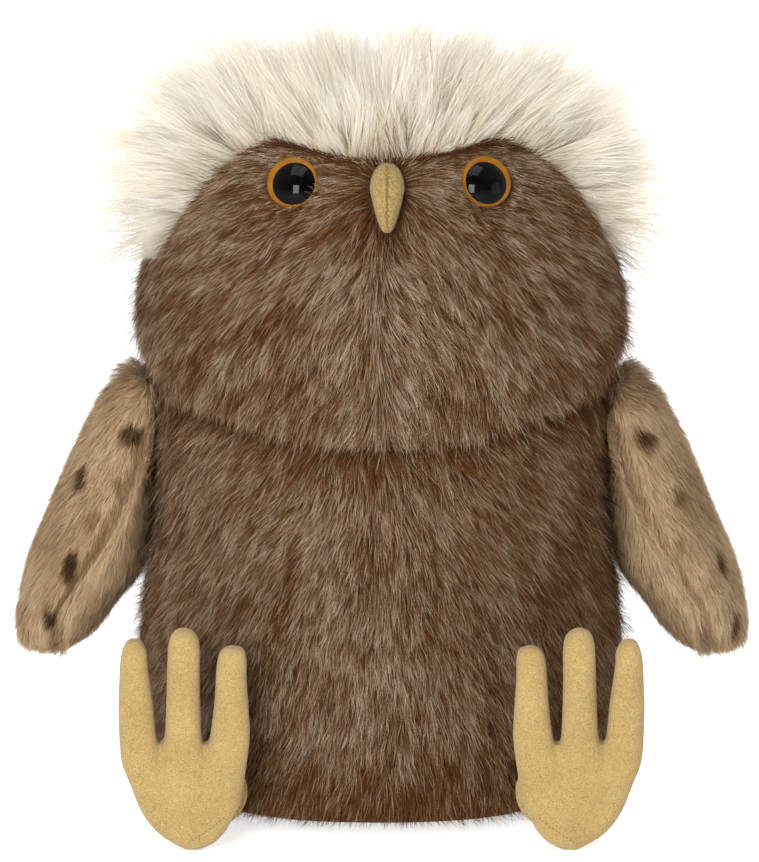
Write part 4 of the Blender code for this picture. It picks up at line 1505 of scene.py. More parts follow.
    def crest_lengths(self, points: Array, edge: Array, rng: np.random.Generator) -> Array:
        """Share of the full length for each white strand.

        Args:
            points: Roots.
            edge: How far they lie above the crest's lower edge.
            rng: Source of random numbers.

        Returns:
            Shares.
        """
        value = blend(0.45, 1.0, ease((points[:, 2] - 0.208) / 0.026))
        value = np.maximum(value, blend(0.35, 0.85, ease(edge / 0.030)))
        value *= blend(0.50, 1.0, ease(edge / 0.010))
        value *= 1 + 0.14 * noise(points, 0.022, 62)
        tilt = np.arctan2(points[:, 2] - self.heart, np.abs(points[:, 0]))
        value *= 1 + 0.22 * near(tilt, 0.32, 0.58)
        short = rng.random(len(points)) < 0.70
        return np.where(short, value * blend(0.42, 0.86, rng.random(len(points))), value)


def grow_long(
    name: str, strands: Strands, pile: LongPile, rng: np.random.Generator, limits: tuple
) -> bpy.types.Object:
    """Long pile whose strands stand up, gather in pointed tufts and curl a little.

    Args:
        name: The object's name.
        strands: The strands, combed as their far ends stand.
        pile: How they stand.
        rng: Source of random numbers.
        limits: Height and place along Y that no strand grows past.

    Returns:
        The new object.
    """
    ceiling, rear = limits
    roots, normals, comb, lengths = strands.roots, strands.normals, strands.comb, strands.lengths
    count = len(roots)
    clumps, tufts = Clumps.around(roots, pile.clump), Clumps.around(roots, pile.tuft)
    own, big = clumps.own, tufts.own
    loose = (rng.random(count) < pile.loose)[:, None]
    astray = (big[:, 3:6] - 0.5) * pile.wander * pile.tuft_stray
    way = unit(comb + astray + (own[:, 3:6] - 0.5) * pile.wander)
    stray = np.where(loose, pile.loose_stray, pile.held_stray)
    way = unit(way + (rng.random((count, 3)) - 0.5) * stray * pile.wander)
    aside = tufts.centre - roots
    aside = aside - way * dot(aside, way)
    far = np.linalg.norm(aside, axis=1) / (0.5 * pile.tuft)
    wisp = (own[:, 6] > pile.wisp_bunches) & (rng.random(count) < pile.wisp_share)
    share = 1 + pile.spread * (rng.random(count) * 2 - 1)
    body = blend(1.16, 0.60, ease(far)) * blend(0.74, 1.10, big[:, 6])
    share = share * np.where(wisp, blend(*pile.wisp_lengths, own[:, 7]), body)
    length = pile.length * share * np.where(wisp, np.maximum(lengths, pile.wisp_least), lengths)
    limit = (ceiling - roots[:, 2]) / (1.05 * np.maximum(way[:, 2], 0.1))
    backward = 0.30 * np.maximum(normals[:, 1], 0) + np.maximum(way[:, 1], 0.1)
    limit = np.minimum(limit, (rear - roots[:, 1]) / backward)
    uneven = blend(0.76, 1.0, np.where(wisp, own[:, 7], 0.7 * big[:, 7]))
    length = np.where(length > limit * uneven, limit * uneven, length)[:, None]
    toward = clumps.centre - roots
    toward = (toward - way * dot(toward, way)) * np.where(wisp, pile.wisp_pull, pile.pull)[:, None]
    pull = np.where(loose, pile.loose_pull, 1.0) * (0.7 + 0.3 * rng.random(count))[:, None]
    toward = toward * pull
    aside = aside * pull * np.where(wisp, pile.wisp_aside, pile.tuft_pull)[:, None]
    bend = unit(np.cross(way, rng.standard_normal((count, 3))))
    bend = bend * (length * pile.bend * rng.standard_normal(count)[:, None])
    outward = unit(roots * [1.0, 1.0, 0.0] + normals * 0.01)
    across = unit(np.cross(way, outward))
    deep = np.cross(across, way)
    roll = ((rng.random(count) - 0.5) * 2 * pile.roll)[:, None]
    flat = across * np.cos(roll) + deep * np.sin(roll)
    half = pile.width * (0.6 + 0.8 * rng.random(count))[:, None] / 2
    spines, halves = [], []
    for s in np.linspace(0, 1, pile.segments + 1):
        spine = roots + normals * (length * 0.30 * s * (1 - 0.6 * s))
        spine = spine + way * (length * (0.6 * s + 0.3 * s**2)) + toward * s**1.3 + aside * s**1.9
        spine = spine + bend * (math.sin(math.pi * s * 0.9) * s)
        spine[:, 2] -= length[:, 0] * pile.droop * s**2 * (1 - np.maximum(way[:, 2], 0))
        spines.append(spine)
        halves.append(half * (1 - s**2.0))
    # painted shade: wisps are darker and their tints drop toward the tips, as backlit hair looks; the
    # other strands' tints rise a little toward the tips
    tint = strands.tint + (own[:, 7] - 0.5) * pile.mottle - 0.04 * wisp
    return add_strands(name, spines, flat, halves, tint, None, pile.wisp_painted_shade * wisp - 0.10)


@dataclass(frozen=True)
class EyePlace:
    """Where an eye sits.

    Attributes:
        place: Middle of the eye on the tips of the pile.
        axes: Its three directions in rows: across, up and outward.
    """

    place: Array
    axes: Array


EYE_SPACING = 0.0690
EYE_HEIGHT = 0.2352
EYE_RADIUS = 0.0092


def eye_frame(form: Form, shift: float, side: Side) -> EyePlace:
    """Find an eye's place on the face.

    Args:
        form: The head's shape.
        shift: How far the features sit to one side.
        side: Side that the eye is on.

    Returns:
        The eye's place.
    """
    x = shift + side * EYE_SPACING / 2
    step = EYE_RADIUS / 2
    xs = np.array([x, x + step, x])
    zs = np.array([EYE_HEIGHT, EYE_HEIGHT, EYE_HEIGHT - step])
    points = np.stack([xs, form.front_y(xs, zs), zs], axis=-1)
    outward = unit(np.cross(points[2] - points[0], points[1] - points[0]))
    across = unit(np.cross([0.0, 0.0, 1.0], outward))
    return EyePlace(points[0], np.stack([across, np.cross(outward, across), outward]))


@dataclass(frozen=True)
class BeakSize:
    """Sizes of the beak.

    Attributes:
        width: Width.
        length: Length from top to tip.
        proud: How far it stands off the face.
        top: Height of its top.
        widest: Share of its length at which it is widest.
        taper: How much narrower it grows toward the tip, as a share.
    """

    width: float = 0.0124
    length: float = 0.0238
    proud: float = 0.0085
    top: float = 0.2422
    widest: float = 0.38
    taper: float = 0.43


BEAK = BeakSize()


def beak_covers(points: Array, shift: float) -> Array:
    """Which points of the face lie under the beak.

    Args:
        points: Points on the face.
        shift: How far the beak sits to one side.

    Returns:
        True for each point under the beak.
    """
    middle = BEAK.top - BEAK.length / 2
    x = (points[:, 0] - shift) / (BEAK.width * 0.40)
    z = (points[:, 2] - middle) / (BEAK.length * 0.46)
    return (x**2 + z**2 < 1) & (points[:, 1] < 0)


@dataclass
class Eyes:
    """Plastic eyes: an amber disc under a black dome.

    Attributes:
        disc: Thickness of the amber disc.
        seat: Depth of the seat below the tips of the pile.
        pupil: Radius of the dome.
        dome: Height of the dome.
        shift: How far the dome sits toward the beak.
        raised: How far the dome sits above the disc's middle.
        steps: Points round each of them.
    """

    disc: float = 0.0034
    seat: float = 0.0032
    pupil: float = 0.0077
    dome: float = 0.0027
    shift: float = 0.0009
    raised: float = -0.0009
    steps: int = 96

    def turned(self, name: str, profile: Array, place: EyePlace, across: float) -> bpy.types.Object:
        """Turned piece on an eye's axis.

        Args:
            name: The object's name.
            profile: Radii and heights, from the axis to the axis.
            place: Where the eye sits.
            across: How far off the eye's axis it is turned.

        Returns:
            The new object.
        """
        angle = np.arange(self.steps) * math.tau / self.steps
        rings = []
        for radius, height in profile[1:-1]:
            x, y = radius * np.cos(angle) + across, radius * np.sin(angle)
            ring = np.stack([x, y, np.full_like(angle, height)], axis=-1)
            rings.append(place.place + ring @ place.axes)
        return skin_object(name, np.array(rings))

    def build(self, head: Head, wardrobe: Wardrobe) -> None:
        """Make both eyes.

        Args:
            head: The head.
            wardrobe: The materials.
        """
        form = head.form()
        for side in Side:
            name = side.word
            place = eye_frame(form, head.eye_shift, side)
            back = 0.0003 - self.seat
            front = back + self.disc
            curve = np.linspace(0, math.pi / 2, 9)
            bevel = self.disc * 0.42
            edge = [
                (EYE_RADIUS - bevel + bevel * math.cos(a), front - bevel + bevel * math.sin(a))
                for a in curve
            ]
            profile = [(0, back), (EYE_RADIUS * 0.96, back), (EYE_RADIUS, back + 0.0004), *edge]
            profile += [(EYE_RADIUS * 0.4, front), (0.0002, front), (0, front)]
            iris = self.turned(f"eye_ring_{name}", np.array(profile), place, 0.0)
            wardrobe.dress(iris, Finish.AMBER, "head")
            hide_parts(f"eye_iris_{name}")
            base = front + 0.0001
            ball = (self.pupil**2 + self.dome**2) / (2 * self.dome)
            steep = math.asin(self.pupil / ball)
            lid = []
            for a in np.linspace(steep, 0.01, 24):
                lid.append((ball * math.sin(a), base + ball * math.cos(a) - ball + self.dome))
            profile = [(0, base), (self.pupil, base - 0.0003), *lid, (0, 0)]
            raised = EyePlace(place.place + place.axes[1] * self.raised, place.axes)
            pupil = self.turned(f"eye_dome_{name}", np.array(profile), raised, -side * self.shift)
            wardrobe.dress(pupil, Finish.BLACK, "head")
            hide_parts(f"eye_pupil_{name}")
            washer = bpy.data.objects[f"eye_washer_{name}"]
            washer.data.materials.clear()
            washer.data.materials.append(wardrobe.materials[Finish.NYLON])


@dataclass
class Beak:
    """Small stuffed beak of two sewn halves, with its seam down the ridge.

    Attributes:
        size: Its sizes.
        groove: Depth of the seam.
        stitch: How far the stitches reach to each side.
    """

    size: BeakSize = BEAK
    groove: float = 0.0006
    stitch: float = 0.00050

    def build(self, head: Head, wardrobe: Wardrobe) -> None:
        """Make the beak and its stitches.

        Args:
            head: The head.
            wardrobe: The materials.
        """
        form = head.form()
        columns, rings = 96, 28
        angle = np.arange(columns) * math.tau / columns
        grid = []
        for share in np.linspace(1.0, 0.02, rings):
            grid.append(self.ring(form, head.face_shift, angle, share))
        item = skin_object("beak", np.array(grid))
        wardrobe.dress(item, Finish.BEAK_CLOTH, "head")
        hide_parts("beak_panel_left", "beak_panel_right", "beak_stuffing")
        ridge = []
        for share in np.linspace(-0.93, 0.93, 25):
            up = np.array([math.copysign(math.pi / 2, share)])
            ridge.append(self.ring(form, head.face_shift, up, abs(share))[0])
        starts, ends = np.array(ridge[:-1]), np.array(ridge[1:])
        sway = np.where(np.arange(len(starts)) % 2 == 0, self.stitch, -self.stitch)
        starts[:, 0] -= sway
        ends[:, 0] += sway
        for row in (starts, ends):
            row[:, 1] -= self.groove * 0.75
        thread = add_stitches("beak_stitches", starts, ends, 0.00013)
        wardrobe.dress(thread, Finish.THREAD, "head")

    def ring(self, form: Form, shift: float, angle: Array, share: float) -> Array:
        """One ring of the beak's surface.

        Args:
            form: The head's shape.
            shift: How far the beak sits to one side.
            angle: Angles round the beak.
            share: 1 at its edge and 0 on its ridge.

        Returns:
            Points in rows.
        """
        size = self.size
        sine, cosine = np.sin(angle), np.cos(angle)
        middle = size.top - size.length * size.widest
        reach = np.where(sine > 0, size.length * size.widest, size.length * (1 - size.widest))
        slim = np.where(sine < 0, 1 - size.taper * np.abs(sine) ** 0.9, 1.0)
        blunt = np.where(sine < 0, 0.60, 0.85)
        across = size.width / 2 * slim * np.sign(cosine) * np.abs(cosine) ** blunt * share
        z = middle + reach * sine * share
        x = shift + across
        proud = size.proud * math.sqrt(max(1 - share**2, 0.0)) + 0.0004
        proud = proud - self.groove * near(across, 0.0005) * (1 - share**6)
        return np.stack([x, form.front_y(x, z) - 0.0003 - proud, z], axis=-1)


@dataclass(frozen=True)
class WingSize:
    """Sizes of a wing.

    Attributes:
        hinge_height: Height of the hinge at the shoulder.
        hinge_y: Place of the hinge along Y.
        radius: Radius of the wing's rounded root.
        root_out: How far the root stands out past the hinge.
        root_chord: Width of the root, as a share of the chord.
        chord: Greatest width, from the front seam to the back seam.
        drop: Length below the hinge.
        thickness: Greatest thickness.
        splay: How far the tip stands off the body.
        sweep: How much further back the tip lies.
        gap: Gap between wing and body.
        root_gap: That gap at the root.
        groove: Depth of the groove along the seam.
        lumps: Height of the filling's lumps.
        shares: Rows from the root down: drop, thickness, chord, splay and the seam's place.
    """

    hinge_height: float = 0.152
    hinge_y: float = 0.006
    radius: float = 0.0055
    root_out: float = 0.0095
    root_chord: float = 0.48
    chord: float = 0.076
    drop: float = 0.1005
    thickness: float = 0.0375
    splay: float = 0.0335
    sweep: float = 0.010
    gap: float = 0.0006
    root_gap: float = 0.0003
    groove: float = 0.0034
    lumps: float = 0.0008
    shares: tuple = (
        (0.060, 0.535, 0.600, 0.000, 0.08),
        (0.170, 0.705, 0.730, 0.004, 0.10),
        (0.280, 0.840, 0.850, 0.010, 0.18),
        (0.460, 1.010, 0.985, 0.014, 0.35),
        (0.650, 1.130, 1.000, 0.030, 0.50),
        (0.790, 0.960, 0.925, 0.270, 0.54),
        (0.900, 0.780, 0.760, 0.490, 0.42),
        (0.970, 0.470, 0.470, 0.770, 0.28),
        (1.000, 0.000, 0.000, 0.930, 0.28),
    )


class WingShape(Surface):
    """Surface of a wing: angle 0 is its front seam, pi its back seam, the outside between."""

    def __init__(self, side: Side, torso: Torso, size: WingSize) -> None:
        """Work out the wing's rows from its sizes and the torso's side.

        Args:
            side: Side that the wing is on.
            torso: The torso that it hangs on.
            size: Its sizes.
        """
        self.side = side
        self.size = size
        self.lumps = size.lumps
        form = torso.form()

        def torso_side(height: float) -> float:
            """Half width of the torso at a height."""
            place = form.place_at(np.array([height]))
            return float(through(form.rows, place)[1][0])

        hinge_x = torso_side(size.hinge_height) + size.root_gap + size.radius
        rows = []
        for angle in np.linspace(math.pi / 2, 0, 5):
            level = math.cos(angle)
            inner = hinge_x - size.radius * level
            outer = hinge_x + size.root_out * level
            width = size.chord * size.root_chord * (0.40 + 0.60 * level) if angle < 1.57 else 0.0
            height = size.hinge_height + size.radius * math.sin(angle)
            rows.append((height, inner, blend(inner, outer, 0.08), outer, width, 0.0))
        for drop, thick, wide, out, lining in size.shares:
            height = size.hinge_height - size.drop * drop
            inner = torso_side(height) + size.gap + size.splay * out
            outer = inner + size.thickness * thick
            seam = blend(inner, outer, lining)
            rows.append((height, inner, seam, outer, size.chord * wide, size.sweep * drop))
        self.rows = np.array(rows)
        self.last = float(len(rows) - 1)

    def shape(self, turn: Array, place: Array) -> Array:
        """Points of the wing.

        Args:
            turn: Angles round it, from its front seam.
            place: Places along it.

        Returns:
            Points in rows.
        """
        size = self.size
        height, inner, seam, outer, chord, sweep = through(self.rows, place)
        sine = np.sin(turn)
        x = seam + np.where(sine > 0, outer - seam, seam - inner) * sine
        low = ease((0.150 - height) / 0.02)
        groove = size.groove * near(sine, 0.15) * low
        full = np.where(sine < 0, 1 - 0.42 * low, 1.0)
        cosine = np.sign(np.cos(turn)) * np.abs(np.cos(turn)) ** full
        y = size.hinge_y + sweep - np.maximum(chord / 2 - groove, 0.0) * cosine
        return np.stack([self.side * x, y, height], axis=-1)

    def at(self, turn: Array, place: Array) -> tuple[Array, Array]:
        """Points and outward normals. See Surface.at."""
        points, normals = super().at(turn, place)
        return points, -self.side * normals

    def place_at(self, height: float) -> float:
        """Place along the wing at a height."""
        return float(np.interp(-height, -self.rows[:, 0], np.arange(len(self.rows))))



@dataclass(frozen=True)
class Spot:
    """Brown spot on a wing.

    Attributes:
        turn: Angle round the wing, in degrees.
        height: Height of its middle.
        size: Half its width.
        tall: Its height as a share of its width.
        dark: How dark it is.
    """

    turn: float
    height: float
    size: float
    tall: float = 1.0
    dark: float = 1.0


LEFT_SPOTS = (
    Spot(17, 0.1385, 0.0049, 0.85),
    Spot(50, 0.1205, 0.0042, 1.1),
    Spot(19, 0.0910, 0.0036, 1.8),
    Spot(14, 0.0710, 0.0038, 1.6),
    Spot(14, 0.1215, 0.0030, 1.2, 0.4),
    Spot(22, 0.1085, 0.0032, 1.3, 0.4),
)
RIGHT_SPOTS = (
    Spot(27, 0.1365, 0.0048, 0.95),
    Spot(52, 0.0905, 0.0042, 1.3),
    Spot(50, 0.0670, 0.0038, 1.3),
    Spot(38, 0.1150, 0.0036, 1.1, 0.5),
    Spot(18, 0.0990, 0.0028, 1.6, 0.4),
)
OUTSIDE_SPOTS = (
    Spot(104, 0.1390, 0.0044, 1.1),
    Spot(103, 0.1170, 0.0048, 1.1),
    Spot(102, 0.0950, 0.0046, 1.2),
    Spot(104, 0.0730, 0.0044, 1.2, 0.9),
    Spot(127, 0.1300, 0.0042, 1.1, 0.8),
    Spot(130, 0.1060, 0.0050, 1.2),
    Spot(127, 0.0840, 0.0046, 1.2),
    Spot(125, 0.0640, 0.0040, 1.2, 0.9),
    Spot(152, 0.1180, 0.0042, 1.2, 0.9),
    Spot(155, 0.0870, 0.0044, 1.4),
)


@dataclass
class Wing:
    """Wing: spotted pile outside, plain darker pile on the lining.

    Attributes:
        side: Side that the wing is on.
        torso: The torso that it hangs on.
        size: Its sizes.
        cloth_depth: How far the cloth lies below the tips of the pile.
        columns: Points round the cloth.
        pile: Its pile.
    """

    side: Side
    torso: Torso
    size: WingSize = WingSize()
    cloth_depth: float = 0.0022
    columns: int = 96
    pile: Pile = Pile(
        length=0.0056, width=0.00024, rise=0.0025, density=3.0e6, guard=0.02,
        clump=0.0026, pull=0.3, wander=0.20, mottle=0.08, glint=0.30,
    )

    def spots(self, shape: WingShape, points: Array) -> Array:
        """How dark the brown spots make each point of the outside.

        Args:
            shape: The wing's shape.
            points: Points on the wing.

        Returns:
            Values from 0 to 1.
        """
        marks = (LEFT_SPOTS if self.side is Side.LEFT else RIGHT_SPOTS) + OUTSIDE_SPOTS
        ragged = 0.32 * noise(points, 0.0045, 81) + 0.18 * noise(points, 0.0018, 89)
        dark = np.zeros(len(points))
        for mark in marks:
            place = np.array([shape.place_at(mark.height)])
            middle = shape.shape(np.array([math.radians(mark.turn)]), place)[0]
            away = (points - middle) / mark.size
            away[:, 2] /= mark.tall
            away = np.linalg.norm(away, axis=1) + ragged
            dark = np.maximum(dark, mark.dark * (1 - ease((away - 0.55) / 0.75)))
        return dark

    def build(self, wardrobe: Wardrobe) -> None:
        """Make the wing's cloth and pile.

        Args:
            wardrobe: The materials.
        """
        name = self.side.word
        body = f"wing_{name}"
        shape = WingShape(self.side, self.torso, self.size)
        low, high = np.full(self.columns, 0.02), np.full(self.columns, shape.last - 0.02)
        grid = shape.grid(self.columns, low, high, 80, self.cloth_depth)
        if self.side is Side.RIGHT:
            grid = grid[::-1]
        pelt = skin_object(f"wing_cloth_{name}", grid)
        wardrobe.dress(pelt, Finish.TAN_CLOTH, body)
        parts = [f"wing_{kind}_{name}" for kind in ("outer", "lining", "stuffing")]
        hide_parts(*parts)
        rng = np.random.default_rng(104 + self.side)
        turn, place = scatter(shape, self.pile.density, rng, 0.03, shape.last - 0.01)
        points, normals = shape.at(turn, place)
        outside = np.sin(turn + 0.05 * noise(points, 0.006, 82)) > 0
        light = 0.76 + 0.12 * noise(points, 0.014, 83) + 0.07 * noise(points, 0.006, 84)
        plain = 0.79 + 0.10 * noise(points, 0.012, 85)
        # painted shade in the seam's crease on the outside, and painted light on the lining's edge
        # beside it
        edge = near(np.sin(turn), 0.14) * ease((0.148 - points[:, 2]) / 0.02)
        outer_tint = light - 0.20 * edge - 0.66 * self.spots(shape, points)
        tint = np.where(outside, outer_tint, plain + 0.08 * edge)
        tint = tint + 0.10 * rng.standard_normal(len(points))
        aside = 0 * turn + self.side * 0.30
        comb = np.stack([aside, -0.15 * np.cos(turn), -np.ones_like(turn)], axis=-1)
        comb += 0.18 * np.stack([noise(points, 0.015, seed) for seed in (86, 87, 88)], axis=-1)
        root = ease((points[:, 2] - 0.140) / 0.016)
        inner = ease((0.0890 - self.side * points[:, 0]) / 0.010)
        over = self.side * blend(0.7, -0.6, inner)
        up = np.stack([over, 0 * inner, blend(-0.8, -0.1, inner)], axis=-1)
        comb = blend(comb, up, root[:, None])
        lengths, lift = 1 + root * blend(0.15, 1.0, inner), 0.0010 * root
        tint = tint - 0.14 * root
        roots = points - normals * self.cloth_depth
        strands = Strands(roots, normals, comb, tint, lengths, lift)
        for kind, mask in (("outer", outside), ("lining", ~outside)):
            item = grow(f"wing_{kind}_pile_{name}", strands.only(mask), self.pile, rng)
            wardrobe.dress(item, Finish.WING_PILE, body)


FOOT_OUTLINE = (
    (0.588, 0.000), (0.496, 0.007), (0.312, 0.072), (0.181, 0.167), (0.085, 0.306),
    (0.019, 0.419), (0.002, 0.631), (0.008, 0.761), (0.019, 0.869), (0.062, 0.939),
    (0.119, 0.950), (0.173, 0.941), (0.219, 0.892), (0.224, 0.829), (0.242, 0.757),
    (0.265, 0.658), (0.288, 0.518), (0.319, 0.468), (0.350, 0.518), (0.362, 0.631),
    (0.369, 0.770), (0.381, 0.923), (0.419, 0.982), (0.504, 1.000), (0.588, 0.973),
    (0.619, 0.910), (0.619, 0.770), (0.623, 0.631), (0.635, 0.505), (0.665, 0.455),
    (0.696, 0.518), (0.727, 0.658), (0.747, 0.829), (0.773, 0.892), (0.819, 0.914),
    (0.873, 0.920), (0.950, 0.905), (0.973, 0.856), (0.973, 0.770), (0.988, 0.631),
    (0.996, 0.505), (0.965, 0.360), (0.927, 0.221), (0.858, 0.135), (0.804, 0.081),
    (0.719, 0.032),
)


@dataclass
class Leg:
    """Leg and foot of mustard suede, with three stuffed toes.

    Attributes:
        side: Side that the leg is on.
        hip: The hip's middle on the right side.
        sole: Place of the sole's face along Y.
        thickness: Thickness of the foot.
        width: Width of the foot.
        height: Height of the foot.
        middle: How far the foot's middle lies from the owl's.
        toe_radius: Distance from the edge over which the foot rounds off.
        edge_share: Thickness at the very edge, as a share.
        palm_rise: How far the palm stands out.
        notches: Where the gaps between the toes end, across and up, as shares.
        dent_length: Length of the dent below a gap.
        dent_depth: Its depth.
        dent_width: Its width.
        hip_radius: Radius of the leg at the hip.
        ankle_radius: Its radius at the foot.
        ankle_in: How far the ankle lies inward of the foot's middle.
        ankle_height: Height of the ankle.
        voxel: Size of the small cubes that the foot's mesh is made from.
    """

    side: Side
    hip: tuple = (0.061, -0.062861, 0.0155)
    sole: float = -0.096361
    thickness: float = 0.0145
    width: float = 0.0466
    height: float = 0.0793
    middle: float = 0.0697
    toe_radius: float = 0.0054
    edge_share: float = 0.40
    palm_rise: float = 0.0016
    notches: tuple = ((0.319, 0.468), (0.665, 0.455))
    dent_length: float = 0.017
    dent_depth: float = 0.0016
    dent_width: float = 0.0011
    hip_radius: float = 0.012
    ankle_radius: float = 0.0135
    ankle_in: float = 0.0087
    ankle_height: float = 0.0195
    voxel: float = 0.0008

    def outline(self, steps: int) -> Array:
        """The foot's outline.

        Args:
            steps: Points to each stretch.

        Returns:
            Places across and up, in rows.
        """
        shares = np.array(FOOT_OUTLINE)
        closed = np.vstack([shares[-1], shares, shares[0], shares[1]])
        places = np.arange(len(shares) * steps) / steps + 1
        across, up = through(closed, places)
        x = self.side * (self.middle - self.width * (across - 0.5))
        return np.stack([x, self.height * np.maximum(up, 0.0)], axis=-1)

    def foot(self, name: str) -> bpy.types.Object:
        """Rounded foot made from its outline.

        Args:
            name: The object's name.

        Returns:
            The new object.
        """
        outline = self.outline(6)
        mesh = bpy.data.meshes.new(name)
        solid = bmesh.new()
        inset = 0.0002
        rings = []
        for y in (self.sole + inset, self.sole + self.thickness - inset):
            rings.append([solid.verts.new((x, y, z)) for x, z in outline])
        front = solid.faces.new(rings[0])
        back = solid.faces.new(list(reversed(rings[1])))
        count = len(outline)
        for i in range(count):
            k = (i + 1) % count
            solid.faces.new((rings[0][k], rings[0][i], rings[1][i], rings[1][k]))
        bmesh.ops.recalc_face_normals(solid, faces=solid.faces)
        bmesh.ops.triangulate(solid, faces=[front, back])
        solid.to_mesh(mesh)
        solid.free()
        item = bpy.data.objects.new(name, mesh)
        bpy.context.scene.collection.objects.link(item)
        remesh = item.modifiers.new("even", "REMESH")
        remesh.mode = "VOXEL"
        remesh.voxel_size = self.voxel
        apply_modifiers(item)
        count = len(item.data.vertices)
        points = np.empty(count * 3, dtype=np.float32)
        item.data.vertices.foreach_get("co", points)
        points = self.pillow(points.reshape(-1, 3).astype(float), outline)
        item.data.vertices.foreach_set("co", points.astype(np.float32).ravel())
        soften = item.modifiers.new("soften", "SMOOTH")
        soften.factor = 0.5
        soften.iterations = 6
        apply_modifiers(item)
        keep_above_floor(item)
        item.data.shade_smooth()
        return item

    def pillow(self, points: Array, outline: Array) -> Array:
        """Round the foot as its filling does: toes like tubes, the palm a low dome.

        Args:
            points: The foot's vertices.
            outline: Its outline, across and up.

        Returns:
            The moved vertices.
        """
        flat = points[:, [0, 2]]
        start, end = outline, np.roll(outline, -1, axis=0)
        away = np.full(len(points), 1.0)
        for first, second in zip(start, end):
            along = second - first
            share = np.clip((flat - first) @ along / (along @ along), 0, 1)[:, None]
            away = np.minimum(away, np.linalg.norm(flat - first - along * share, axis=1))
        middle = self.sole + self.thickness / 2
        round_off = np.minimum(away / self.toe_radius, 1.0)
        full = self.edge_share + (1 - self.edge_share) * (1 - (1 - round_off) ** 2.2) ** 0.5
        palm = self.palm_rise * ease((away - 0.0045) / 0.011)
        x = np.abs(points[:, 0]) - self.middle
        for across, notch in self.notches:
            below = notch * self.height - points[:, 2]
            line = np.abs(x - (self.width * (0.5 - across) + below * 0.10))
            low = below / self.dent_length
            fade = ease(low / 0.15) * ease(1 - low)
            palm = palm - self.dent_depth * near(line, self.dent_width) * fade
        ahead = points[:, 1] < middle
        points[:, 1] = middle + (points[:, 1] - middle) * full
        points[:, 1] -= np.where(ahead, palm, 0.0)
        return points

    def seam(self, foot: bpy.types.Object) -> tuple[Array, Array]:
        """Closing seam at the bottom of the sole.

        Args:
            foot: The foot.

        Returns:
            Where the stitches start and end.
        """
        skin = np.array([tuple(v.co) for v in foot.data.vertices])
        skin = skin[skin[:, 1] < self.sole + 0.4 * self.thickness]
        places = np.linspace(0, 1, 13)
        across, up = blend(0.50, 0.81, places), 0.036 + 0.10 * places + 0.028 * places**2
        x = self.side * (self.middle - self.width * (across - 0.5))
        flat = np.stack([x, self.height * up], axis=-1)
        nearest = [int(np.argmin(((skin[:, [0, 2]] - point) ** 2).sum(axis=1))) for point in flat]
        line = np.stack([x, skin[nearest, 1], flat[:, 1]], axis=-1)
        return blend(line[:-1], line[1:], 0.12), blend(line[:-1], line[1:], 0.80)

    def leg(self, name: str) -> bpy.types.Object:
        """Short stuffed leg between hip and foot.

        Args:
            name: The object's name.

        Returns:
            The new object.
        """
        hip = np.array([self.side * self.hip[0], self.hip[1], self.hip[2]])
        back = self.sole + self.thickness
        ankle_x = self.side * (self.middle - self.ankle_in)
        ankle = np.array([ankle_x, back - 0.001, self.ankle_height])
        angle = -np.arange(48) * math.tau / 48
        rings = []
        for turn in np.linspace(math.radians(86), 0, 10):
            centre = hip + np.array([0, self.hip_radius * math.sin(turn), 0])
            rings.append((centre, self.hip_radius * math.cos(turn)))
        for share in np.linspace(0, 1, 10)[1:]:
            radius = blend(self.hip_radius, self.ankle_radius, float(ease(share)))
            rings.append((blend(hip, ankle, share), radius))
        grid = []
        for centre, radius in rings:
            around = np.stack([np.cos(angle), 0 * angle, np.sin(angle)], axis=-1)
            grid.append(centre + around * radius)
        return skin_object(name, np.array(grid)[::-1])

    def build(self, wardrobe: Wardrobe) -> None:
        """Make the leg and the foot.

        Args:
            wardrobe: The materials.
        """
        name = self.side.word
        body = f"leg_{name}"
        foot = self.foot(f"foot_{name}")
        wardrobe.dress(foot, Finish.SUEDE, body)
        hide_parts(*[f"foot_{kind}_{name}" for kind in ("sole", "top", "stuffing")])
        starts, ends = self.seam(foot)
        thread = add_stitches(f"foot_stitches_{name}", starts, ends, 0.00012)
        wardrobe.dress(thread, Finish.THREAD, body)
        leg = self.leg(f"leg_cloth_{name}")
        wardrobe.dress(leg, Finish.SUEDE, body)
        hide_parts(f"leg_{name}")


def apply_modifiers(item: bpy.types.Object) -> None:
    """Turn an object's modifiers into its mesh.

    Args:
        item: The object.
    """
    graph = bpy.context.evaluated_depsgraph_get()
    mesh = bpy.data.meshes.new_from_object(item.evaluated_get(graph))
    item.modifiers.clear()
    item.data = mesh


@dataclass(frozen=True)
class SoftLight:
    """Soft light that faces the owl.

    Attributes:
        name: The light's name.
        place: Where it stands.
        size: Its width and height.
        power: Its power.
    """

    name: str
    place: tuple
    size: tuple
    power: float


LIGHTS = (
    SoftLight("key", (-0.45, -1.75, 0.62), (0.60, 0.85), 36.0),
    SoftLight("top", (-0.15, -0.35, 1.9), (1.2, 1.2), 17.0),
    SoftLight("side", (1.9, -0.75, 0.45), (1.2, 1.0), 5.0),
    SoftLight("rear", (0.3, 1.8, 1.0), (1.6, 1.2), 24.0),
)


